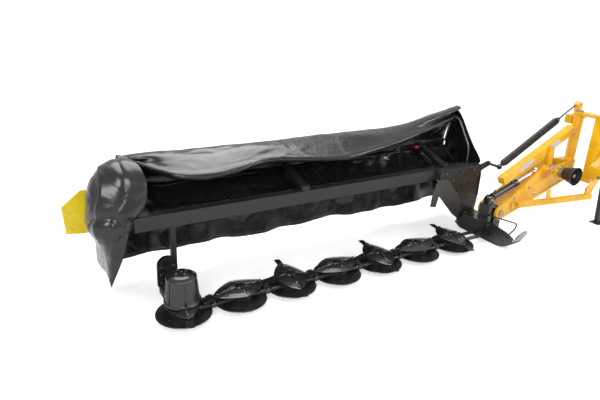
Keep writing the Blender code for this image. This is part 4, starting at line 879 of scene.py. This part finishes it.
class MOWER_OT_end_curtains(bpy.types.Operator):
    """Curtains that close the outer and the inner end"""

    bl_idname = "mower.end_curtains"
    bl_label = "End curtains"

    def execute(self, context):
        outer = [
            [(-1.360, 0.500, 0.966), (-1.370, 0.540, 0.965), (-1.390, 0.600, 0.955), (-1.410, 0.660, 0.880),
             (-1.420, 0.707, 0.778)],
            [(-1.320, 0.380, 0.930), (-1.420, 0.440, 0.965), (-1.470, 0.540, 0.955), (-1.500, 0.630, 0.880),
             (-1.510, 0.707, 0.770)],
            [(-1.308, 0.285, 0.838), (-1.450, 0.340, 0.905), (-1.560, 0.460, 0.905), (-1.585, 0.590, 0.845),
             (-1.588, 0.706, 0.758)],
            [(-1.330, 0.275, 0.705), (-1.490, 0.290, 0.770), (-1.625, 0.420, 0.800), (-1.635, 0.580, 0.760),
             (-1.602, 0.708, 0.700)],
            [(-1.400, 0.272, 0.615), (-1.540, 0.272, 0.635), (-1.655, 0.420, 0.650), (-1.652, 0.580, 0.620),
             (-1.605, 0.708, 0.600)],
            [(-1.430, 0.275, 0.555), (-1.570, 0.280, 0.560), (-1.672, 0.430, 0.550), (-1.660, 0.580, 0.520),
             (-1.605, 0.708, 0.500)],
            [(-1.475, 0.280, 0.400), (-1.555, 0.290, 0.400), (-1.605, 0.420, 0.400), (-1.612, 0.580, 0.370),
             (-1.603, 0.707, 0.350)],
            [(-1.585, 0.280, 0.165), (-1.588, 0.310, 0.185), (-1.590, 0.420, 0.200), (-1.600, 0.580, 0.175),
             (-1.600, 0.706, 0.162)]]
        grid = net([[at(*spot) for spot in row] for row in outer], 80, 130)

        def fold(u, v):
            sweep = math.exp(-abs(u - 0.66 + 0.38 * v) / 0.07)
            sweep -= 0.7 * math.exp(-abs(u - 0.30 + 0.12 * v) / 0.06)
            waist = math.exp(-((v - 0.56 - 0.10 * u) / 0.030) ** 2)
            return (0.020 * sweep - 0.018 * waist) * math.sin(math.pi * min(1.0, v * 1.05)) ** 0.7

        piece = shape_cloth("outer_end_curtain", grid, fold, 31.0, -sizes().crease_depth * 1.1, (1.1, 1.1))
        hang_cloth(piece, "smooth_cloth", "outer_curtain")
        inner = [
            [(1.703, 0.400, 0.800), (1.704, 0.470, 0.930), (1.704, 0.560, 1.030), (1.704, 0.610, 1.060),
             (1.704, 0.700, 0.800)],
            [(1.706, 0.240, 0.640), (1.706, 0.400, 0.720), (1.708, 0.520, 0.800), (1.707, 0.610, 0.820),
             (1.706, 0.705, 0.700)],
            [(1.706, 0.395, 0.560), (1.708, 0.450, 0.560), (1.712, 0.540, 0.560), (1.710, 0.620, 0.560),
             (1.706, 0.706, 0.540)],
            [(1.706, 0.440, 0.380), (1.710, 0.490, 0.370), (1.716, 0.560, 0.360), (1.712, 0.640, 0.350),
             (1.706, 0.706, 0.340)],
            [(1.706, 0.480, 0.255), (1.710, 0.520, 0.235), (1.716, 0.580, 0.205), (1.712, 0.640, 0.180),
             (1.706, 0.706, 0.162)]]
        grid = net([[at(*spot) for spot in row] for row in inner], 56, 100)

        def ripple(u, v):
            return 0.005 * math.sin(u * 12 + v * 3) * math.sin(math.pi * v)

        piece = shape_cloth("inner_end_curtain", grid, ripple, 43.0, sizes().crease_depth * 0.8, (1.1, 1.0))
        hang_cloth(piece, "smooth_cloth", "inner_curtain")
        return {"FINISHED"}


class MOWER_OT_float_spring(bpy.types.Operator):
    """Close-wound pull spring with its hook and its long rod"""

    bl_idname = "mower.float_spring"
    bl_label = "Float spring"

    def execute(self, context):
        foot = at(SPRING_FOOT[0], SPRING_Y, SPRING_FOOT[1])
        head = at(SPRING_HEAD[0], SPRING_Y, SPRING_HEAD[1])
        run = (head - foot).normalized()
        wire = sizes().spring_wire
        turns = sizes().spring_turns
        radius = SPRING_RADIUS - wire
        start = foot + run * 0.056
        length = (head - start).length
        unpick()
        bpy.ops.mesh.primitive_circle_add(vertices=8, radius=wire, fill_type="NGON",
                                          location=(radius, 0, 0), rotation=(math.pi / 2, 0, 0))
        coil = apply_place(bpy.context.object)
        bpy.ops.object.modifier_add(type="SCREW")
        screw = coil.modifiers[-1]
        screw.axis = "Z"
        screw.steps = 18
        screw.render_steps = 18
        screw.iterations = turns
        screw.screw_offset = (length - 2 * wire) / turns
        bpy.ops.object.modifier_apply(modifier=screw.name)
        coil.data.transform(place(start + run * wire, run))
        pieces = [coil]
        pieces.append(round_bar(head - run * 0.030, head + run * 0.012, 0.0255, 20, 0.003))
        pieces.append(round_bar(start - run * 0.010, start + run * 0.020, 0.0255, 20, 0.003))
        pieces.append(round_bar(foot + run * 0.024, start - run * 0.004, 0.0070, 12))
        eye = at(SPRING_EYE_X, SPRING_Y,
                 SPRING_FOOT[1] + (SPRING_EYE_X - SPRING_FOOT[0]) * run.z / run.x)
        pieces.append(round_bar(head, eye - run * 0.027, 0.0070, 14))
        for share in (0.012, 0.026):
            pieces.append(round_bar(head + run * share, head + run * (share + 0.010), 0.0135, 6, 0.001))
        pieces.append(ring(foot + run * 0.004, REAR, 0.0205, 0.0065, 26, 10))
        piece = joined(pieces)
        finished(piece, "wound_float_spring", "spring_black", None)
        choose_faces(piece, lambda centre, normal: True)
        bpy.ops.mesh.normals_make_consistent(inside=False)
        bpy.ops.object.mode_set(mode="OBJECT")
        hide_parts("float_spring")
        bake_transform(piece)
        return {"FINISHED"}


class MOWER_OT_discs(bpy.types.Operator):
    """Ridges, hub bolts and knife bolts of the seven discs"""

    bl_idname = "mower.discs"
    bl_label = "Disc fittings"

    def model(self):
        """Fittings of one disc about its shaft, with its long axis along X."""
        black = []
        for side in (-1, 1):
            black.append(round_bar((side * 0.036, 0, 0.1205), (side * 0.178, 0, 0.1020),
                                   0.0150, 10, 0.002, 0.0090))
            black.append(round_bar((0, side * 0.034, 0.1185), (0, side * 0.104, 0.1025),
                                   0.0130, 10, 0.002, 0.0080))
            for way in (-1, 1):
                black.append(round_bar((side * 0.030, way * 0.026, 0.1190),
                                       (side * 0.118, way * 0.050, 0.1035), 0.0070, 8, 0.0015, 0.0045))
        black.append(ring((0, 0, HUB_TOP_Z - 0.003), UP, 0.0385, 0.0030, 28, 8))
        spots = [(Vector((side * KNIFE_PAD_X, 0, KNIFE_PAD_Z - 0.0005)), UP) for side in (-1, 1)]
        steel = bolts(spots, 1.15)
        hub = [(Vector((u, v, HUB_TOP_Z - 0.0003)), UP) for u, v in around(4, 0.0285, math.pi / 4)]
        return joined(black), steel, bolts(hub, 0.62)

    def execute(self, context):
        black, knives, hub = self.model()
        fittings = (("ridges", black, "gloss_black"), ("knife_bolts", knives, "worn_steel"),
                    ("hub_bolts", hub, "gloss_black"))
        for index in range(DISCS):
            turn = math.pi / 2 - TIMING_TILT if index % 2 == 0 else TIMING_TILT
            where = place(at(OUTER_DISC_X + index * DISC_PITCH, 0, 0)) @ Matrix.Rotation(turn, 4, "Z")
            for label, master, look in fittings:
                if label == "hub_bolts" and index == 0:
                    continue
                finished(copy_at(master, where), "%s_%d" % (label, index + 1), look,
                         "disc_%d" % (index + 1))
        for label, master, look in fittings:
            bpy.data.objects.remove(master)
        centre = at(OUTER_DISC_X, 0, 0)
        ribs = []
        for u, v in around(6, 1.0, 0.4):
            way = Vector((u, v, 0))
            ribs.append(round_bar(centre + way * 0.1135 + Vector((0, 0, 0.134)),
                                  centre + way * 0.0985 + Vector((0, 0, 0.286)), 0.0075, 8, 0.002, 0.0060))
        ribs.append(ring(centre + Vector((0, 0, 0.2945)), UP, 0.0955, 0.0035, 40, 8))
        ribs.append(round_bar(centre + Vector((0, 0, 0.318)), centre + Vector((0, 0, 0.3255)),
                              0.052, 28, 0.002))
        finished(joined(ribs), "drum_ribs", "gloss_black", "disc_1")
        spots = [(centre + Vector((u, v, 0.3253)), UP) for u, v in around(4, 0.038, 0.3) + [(0, 0)]]
        finished(bolts(spots, 0.85), "drum_cap_bolts", "worn_steel", "disc_1")
        return {"FINISHED"}


class MOWER_OT_bar(bpy.types.Operator):
    """Clamps, bolts and seams of the cutterbar"""

    bl_idname = "mower.bar"
    bl_label = "Bar fittings"

    def execute(self, context):
        clamps, spots = [], []
        for i in range(6):
            x = -1.0 + DISC_PITCH * i
            clamps.append(plate((0.052, 0.130, 0.030), at(x, 0, 0.0565), rounding=0.004))
            clamps.append(plate((0.030, 0.036, 0.004), at(x, 0, 0.0730), rounding=0.001))
            spots += [(at(x, side * 0.052, 0.0713), UP) for side in (-1, 1)]
        finished(joined(clamps), "tube_clamps", "gloss_black", "cutterbar")
        finished(bolts(spots, 0.95), "clamp_bolts", "worn_steel", "cutterbar")
        skid = [ring(at(OUTER_DISC_X + i * DISC_PITCH, -SKID_FORWARD, 0.0375), UP, 0.1815, 0.0030, 48, 6)
                for i in range(DISCS)]
        finished(joined(skid), "skid_rims", "worn_steel", "cutterbar")
        x = OUTER_DISC_X
        spots = facing(FRONT, 0.325, [(x + dx, z) for dx in (-0.045, 0.045) for z in (0.085, 0.150)])
        spots += facing(FRONT, 0.325, [(x + 0.045, 0.205), (x - 0.045, 0.205)])
        finished(bolts(spots, 1.0), "upright_bolts", "worn_steel", "cutterbar")
        trim = [ring(at(x, 0.323, 0.232), FRONT, 0.040, 0.003, 28, 8)]
        trim.append(plate((0.110, 0.005, 0.012), at(x, 0.3225, 0.118), rounding=0.0015))
        finished(joined(trim), "upright_ridges", "gloss_black", "cutterbar")
        runs = [((x, 0.3435, 0.120), (x, 0.3435, 0.270)) for x in (-1.170, -1.132)]
        runs.append(((-1.170, 0.343, 0.509), (-1.132, 0.343, 0.509)))
        seams(runs, 0.007, "post_welds", "satin_black", "cutterbar")
        return {"FINISHED"}


class MOWER_OT_guard(bpy.types.Operator):
    """Brackets, strips and clips of the guard frame"""

    bl_idname = "mower.guard"
    bl_label = "Guard frame fittings"

    def execute(self, context):
        lugs, spots = [], []
        for x in CROSS_ARMS:
            for side in (-1, 1):
                lugs.append(plate((0.005, 0.058, 0.044), at(x + side * 0.0330, 0.341, 0.6325),
                                  rounding=0.001))
                lugs.append(plate((0.030, 0.058, 0.004), at(x + side * 0.0480, 0.341, 0.6125),
                                  rounding=0.001))
                spots.append((at(x + side * 0.0352, 0.338, 0.636), (side, 0, 0)))
                spots.append((at(x + side * 0.0500, 0.341, 0.6143), UP))
            lugs.append(plate((0.050, 0.026, 0.005), at(x, 0.600, 0.7325), (0.370, 0, 0), 0.001))
            spots.append((at(x, 0.600, 0.7345), (0, -0.36, 0.93)))
        finished(joined(lugs), "cross_arm_lugs", "satin_black", "cutterbar")
        finished(bolts(spots, 0.85), "cross_arm_bolts", "worn_steel", "cutterbar")
        strips, heads = [], []
        for low, high in ((-1.270, -0.190), (-0.030, 1.255)):
            strips.append(plate((high - low, 0.020, 0.004), at((low + high) / 2, 0.366, 0.6122),
                                rounding=0.001))
            count = int((high - low) / 0.16)
            heads += [(at(low + 0.03 + (high - low - 0.06) * i / count, 0.366, 0.6141), UP)
                      for i in range(count + 1)]
        strips.append(plate((0.004, 0.076, 0.096), at(-1.4022, 0.340, 0.560), rounding=0.001))
        finished(joined(strips), "cloth_strips", "satin_black", "cutterbar")
        finished(rivets(heads, 0.0065), "strip_rivets", "worn_steel", "cutterbar")
        clips = [ring(at(x, *RAIL), INWARD, 0.0150, 0.0028, 20, 8)
                 for x in (-1.50, -1.20, -0.93, -0.66, -0.39, 0.12, 0.38, 0.64, 0.90, 1.14, 1.50, 1.60)]
        clips += [round_bar(at(-1.5665, *RAIL), at(-1.5590, *RAIL), 0.0125, 16, 0.002)]
        finished(joined(clips), "rail_clips", "moulded_black", "cutterbar")
        places = ((-1.740, 0.560), (-1.735, 0.430), (-1.640, 0.665), (-1.640, 0.415))
        board = facing(FRONT, 0.7238, places)
        board += facing(REAR, 0.7282, places + ((-1.540, 0.665), (-1.540, 0.415)))
        finished(rivets(board, 0.006), "board_rivets", "zinc", "cutterbar")
        knob = [round_bar(at(1.3044, 0.640, 0.725), at(1.2985, 0.640, 0.725), 0.0105, 6, 0.001)]
        knob.append(ring(at(1.2870, 0.640, 0.725), INWARD, 0.0120, 0.0025, 20, 8))
        finished(joined(knob), "knob_collar", "zinc", "cutterbar")
        return {"FINISHED"}


class MOWER_OT_inner_end(bpy.types.Operator):
    """Bolts, ribs and welds of the gusset, the drive housing and the inner shoe"""

    bl_idname = "mower.inner_end"
    bl_label = "Inner end fittings"

    def execute(self, context):
        front = 0.2448
        spots = facing(FRONT, front, (
            (1.300, 0.575), (1.400, 0.500), (1.500, 0.575), (1.640, 0.575), (1.700, 0.520), (1.700, 0.400),
            (1.610, 0.300), (1.690, 0.200)))
        finished(bolts(spots, 1.15), "gusset_bolts", "worn_steel", "cutterbar")
        ribs = [plate((0.400, 0.010, 0.012), at(1.480, 0.2402, 0.604), rounding=0.002),
                plate((0.010, 0.012, 0.220), at(1.733, 0.2400, 0.420), rounding=0.002)]
        ribs.append(ring(at(1.560, 0.2440, 0.445), FRONT, 0.042, 0.004, 32, 8))
        finished(joined(ribs), "gusset_ribs", "charcoal", "cutterbar")
        runs = [((1.285, front, 0.598), (1.675, front, 0.598)),
                ((1.7265, front, 0.320), (1.7265, front, 0.520))]
        seams(runs, 0.007, "gusset_welds", "charcoal", "cutterbar")
        spots = facing(FRONT, -0.0842, ((1.545, 0.062), (1.545, 0.168), (1.683, 0.062), (1.615, 0.062),
                                        (1.615, 0.168)))
        spots += [(at(x, y, 0.1848), UP) for x, y in ((1.600, 0.150), (1.560, 0.200), (1.670, 0.210))]
        finished(bolts(spots, 1.2), "housing_bolts", "worn_steel", "cutterbar")
        case = [plate((0.150, 0.007, 0.118), at(1.614, -0.0865, 0.1155), rounding=0.003)]
        case.append(round_bar(at(1.615, 0.055, 0.184), at(1.615, 0.055, 0.196), 0.034, 24, 0.003))
        case.append(ring(at(1.575, -0.018, 0.395), FRONT, 0.021, 0.003, 22, 8))
        finished(joined(case), "housing_flange", "gloss_black", "cutterbar")
        side = 1.5898
        spots = [(at(side, y, z), OUTWARD) for y, z in ((-0.275, 0.115), (-0.185, 0.100), (-0.110, 0.075))]
        finished(bolts(spots, 1.1), "shoe_bolts", "worn_steel", "cutterbar")
        lug = [round_bar(at(1.830, 0.1085, 0.610), at(1.830, 0.1135, 0.610), 0.0200, 24, 0.0015)]
        lug.append(ring(at(1.548, -0.0880, 0.265), FRONT, 0.0090, 0.0030, 18, 8))
        finished(joined(lug), "lug_rings", "charcoal", "cutterbar")
        nose = facing((0, -0.75, 0.66), -0.345, ((1.612, 0.148), (1.668, 0.148)))
        finished(rivets(nose, 0.006), "nose_rivets", "worn_steel", "cutterbar")
        return {"FINISHED"}


class MOWER_OT_arm(bpy.types.Operator):
    """Bolts, ribs, welds and blank patches of the swing arm"""

    bl_idname = "mower.arm"
    bl_label = "Arm fittings"

    def execute(self, context):
        ax, az = ANCHOR
        px, pz = PULLEY
        hub = [round_bar(at(ax, -0.1348, az), at(ax, -0.1420, az), 0.046, 32, 0.003),
               ring(at(ax, -0.1420, az), FRONT, 0.030, 0.0030, 32, 8)]
        finished(joined(hub), "anchor_cap", "hub_orange", "arm")
        spots = facing(FRONT, -0.1418, [(ax + u, az + v) for u, v in around(4, 0.036, 0.3)])
        finished(bolts(spots, 0.62), "anchor_cap_bolts", "zinc", "arm")
        spots = facing(FRONT, -0.1418, [ANCHOR])
        spots += facing(FRONT, -0.1152, (
            (2.520, 0.610), (2.520, 0.530), (1.800, 0.395), (1.780, 0.290), (1.980, 0.470), (2.280, 0.580),
            (2.060, 0.400)))
        finished(bolts(spots, 1.25), "arm_bolts", "zinc", "arm")
        ribs = [plate((0.600, 0.006, 0.014), at(2.130, -0.1180, 0.385), (0, -0.300, 0), 0.0015)]
        start, end = Vector((PIVOT[0], 0, PIVOT[1])), Vector((px, 0, pz))
        run = (end - start).normalized()
        centre = (start + end) / 2
        ribs.append(plate((0.520, 0.006, 0.060), at(centre.x, 0.0868, centre.z),
                          (0, -math.atan2(run.z, run.x), 0), 0.0025))
        ribs.append(ring(at(px, 0.0850, pz), REAR, 0.088, 0.0045, 44, 8))
        ribs.append(ring(at(PIVOT[0], 0.0850, PIVOT[1]), REAR, 0.050, 0.0040, 36, 8))
        finished(joined(ribs), "arm_ribs", "machine_yellow", "arm")
        places = [(px + u, pz + v) for u, v in around(6, 0.105)]
        places += [(centre.x + k, centre.z + k * run.z / run.x + off)
                   for k in (-0.20, 0.12) for off in (-0.060, 0.064)]
        spots = facing(REAR, 0.0848, places)
        finished(bolts(spots, 0.9), "belt_guard_bolts", "zinc", "arm")
        tube_start, tube_end = Vector((1.690, CYLINDER_Y, 0.545)), Vector((2.591, CYLINDER_Y, 0.960))
        tilt = -math.atan2(tube_end.z - tube_start.z, tube_end.x - tube_start.x)
        patches = []
        for share, wide in ((0.30, 0.170), (0.68, 0.120)):
            spot = tube_start.lerp(tube_end, share)
            patches.append(plate((wide, 0.0012, 0.046), at(spot.x, CYLINDER_Y - 0.0354, spot.z),
                                 (0, tilt, 0), 0.0004))
        finished(joined(patches), "blank_patches", "blank_patch", "arm")
        trim = []
        for share in (0.04, 0.90):
            spot = tube_start.lerp(tube_end, share)
            trim.append(plate((0.012, 0.078, 0.078), at(spot.x, CYLINDER_Y, spot.z), (0, tilt, 0), 0.003))
        finished(joined(trim), "tube_collars", "machine_yellow", "arm")
        runs = [((x, -0.0895, 0.640), (x, -0.0895, top)) for x, top in ((2.210, 0.740), (2.270, 0.760))]
        seams(runs, 0.007, "strut_welds", "machine_yellow", "arm")
        caps = [ring(at(*HINGE, z), UP, 0.0445, 0.0035, 36, 8) for z in (0.512, 1.048)]
        finished(joined(caps), "boss_collars", "machine_yellow", "arm")
        spots = [(at(HINGE[0], HINGE[1] - 0.0445, z), FRONT) for z in (0.720, 0.860)]
        finished(bolts(spots, 0.6), "grease_points", "zinc", "arm")
        stub = [round_bar(at(px + u, -0.2490, pz + v), at(px + u, -0.1800, pz + v), 0.0022, 6)
                for u, v in around(10, 0.0168)]
        stub.append(ring(at(px, -0.1480, pz), FRONT, 0.043, 0.0030, 36, 8))
        finished(joined(stub), "input_splines", "bare_steel", "arm")
        cone = [ring(at(px, y, pz), FRONT, radius, 0.0022, 40, 8)
                for y, radius in ((-0.268, 0.0835), (-0.210, 0.0695), (-0.172, 0.0590))]
        finished(joined(cone), "cone_ribs", "moulded_black", "arm")
        spots = facing(FRONT, -0.1312, ((1.795, 0.353), (1.880, 0.353)))
        finished(bolts(spots, 0.95), "brace_bolts", "zinc", "arm")
        return {"FINISHED"}


class MOWER_OT_cylinder(bpy.types.Operator):
    """Gland, ports and eye rings of the lift cylinder"""

    bl_idname = "mower.cylinder"
    bl_label = "Lift cylinder fittings"

    def execute(self, context):
        foot, head = at(LUG[0], CYLINDER_Y, LUG[1]), at(ANCHOR[0], CYLINDER_Y, ANCHOR[1])
        run = (head - foot).normalized()
        over = Vector((-run.z, 0, run.x))
        parts = [round_bar(foot + run * 0.308, foot + run * 0.3465, 0.0345, 32, 0.003),
                 round_bar(foot + run * 0.040, foot + run * 0.056, 0.0340, 32, 0.003),
                 ring(foot + run * 0.300, run, 0.0312, 0.0022, 32, 8)]
        for share in (0.078, 0.288):
            port = foot + run * share
            parts.append(round_bar(port + over * 0.026, port + over * 0.043, 0.0110, 16, 0.0015))
        finished(joined(parts), "cylinder_collars", "cylinder_black", "lift_barrel")
        ports = [round_bar(foot + run * share + over * 0.042, foot + run * share + over * 0.055,
                           0.0100, 6, 0.0012) for share in (0.078, 0.288)]
        ports += [ring(foot + Vector((0, side * 0.0130, 0)), REAR, 0.0175, 0.0020, 26, 8) for side in (-1, 1)]
        finished(joined(ports), "cylinder_ports", "zinc", "lift_barrel")
        rings = [ring(head + Vector((0, side * 0.0130, 0)), REAR, 0.0170, 0.0020, 26, 8) for side in (-1, 1)]
        finished(joined(rings), "rod_eye_rings", "zinc", "lift_rod")
        return {"FINISHED"}


class MOWER_OT_headstock(bpy.types.Operator):
    """Pin clips, welds and bolts of the headstock and its stand"""

    bl_idname = "mower.headstock"
    bl_label = "Headstock fittings"

    def execute(self, context):
        clips = []
        for side in (-1, 1):
            x = MAST_X + side * (0.4125 + 0.090)
            clips.append(ring(at(x, -0.450, 0.600), (side * 0.4, 0, 1), 0.0200, 0.0022, 28, 8))
            clips.append(round_bar(at(x, -0.450, 0.578), at(x, -0.450, 0.622), 0.0042, 12, 0.001))
        clips.append(ring(at(3.016, -0.370, 1.210), (0.3, 0, 1), 0.0175, 0.0020, 28, 8))
        finished(joined(clips), "pin_clips", "zinc", "headstock")
        runs = []
        for side in (-1, 1):
            x = MAST_X + side * 0.345
            runs += [((x - 0.024, y, 0.6395), (x + 0.024, y, 0.6395)) for y in (-0.3310, -0.2690)]
            runs.append(((MAST_X + side * 0.400, -0.3405, 0.565), (MAST_X + side * 0.400, -0.3405, 0.635)))
        runs += [((x, -0.2590, 0.565), (x, -0.2590, 0.635)) for x in (2.602, 2.678)]
        seams(runs, 0.008, "headstock_welds", "machine_yellow", "headstock")
        spots = [(at(MAST_X + dx, -0.3402, z), FRONT) for dx in (-0.060, 0.060) for z in (0.578, 0.622)]
        spots += [(at(MAST_X + dx, -0.3402, 0.600), FRONT) for dx in (-0.22, 0.22)]
        finished(bolts(spots, 1.1), "beam_bolts", "zinc", "headstock")
        return {"FINISHED"}


class MOWER_PT_panel(bpy.types.Panel):
    """Lists the mower's pieces and its sizes and colours"""

    bl_idname = "MOWER_PT_panel"
    bl_label = "Disc mower"
    bl_space_type = "VIEW_3D"
    bl_region_type = "UI"
    bl_category = "Mower"

    def draw(self, context):
        for made in OPERATORS:
            self.layout.operator(made.bl_idname)
        for group in (colours(), sizes()):
            for prop in group.__annotations__:
                self.layout.prop(group, prop)


OPERATORS = (MOWER_OT_stage, MOWER_OT_finishes, MOWER_OT_flap, MOWER_OT_deck, MOWER_OT_rear_curtain,
             MOWER_OT_end_curtains, MOWER_OT_float_spring, MOWER_OT_discs, MOWER_OT_bar, MOWER_OT_guard,
             MOWER_OT_inner_end, MOWER_OT_arm, MOWER_OT_cylinder, MOWER_OT_headstock)
CLASSES = (MowerColours, MowerSizes, *OPERATORS, MOWER_PT_panel)


def register():
    for made in CLASSES:
        bpy.utils.register_class(made)
    bpy.types.Scene.mower_colours = bpy.props.PointerProperty(type=MowerColours)
    bpy.types.Scene.mower_sizes = bpy.props.PointerProperty(type=MowerSizes)


def unregister():
    del bpy.types.Scene.mower_colours
    del bpy.types.Scene.mower_sizes
    for made in reversed(CLASSES):
        bpy.utils.unregister_class(made)


def main():
    register()
    bpy.ops.mower.stage()
    bpy.ops.mower.finishes()
    bpy.ops.mower.flap()
    bpy.ops.mower.deck()
    bpy.ops.mower.rear_curtain()
    bpy.ops.mower.end_curtains()
    bpy.ops.mower.float_spring()
    bpy.ops.mower.discs()
    bpy.ops.mower.bar()
    bpy.ops.mower.guard()
    bpy.ops.mower.inner_end()
    bpy.ops.mower.arm()
    bpy.ops.mower.cylinder()
    bpy.ops.mower.headstock()


if __name__ == "__main__":
    main()
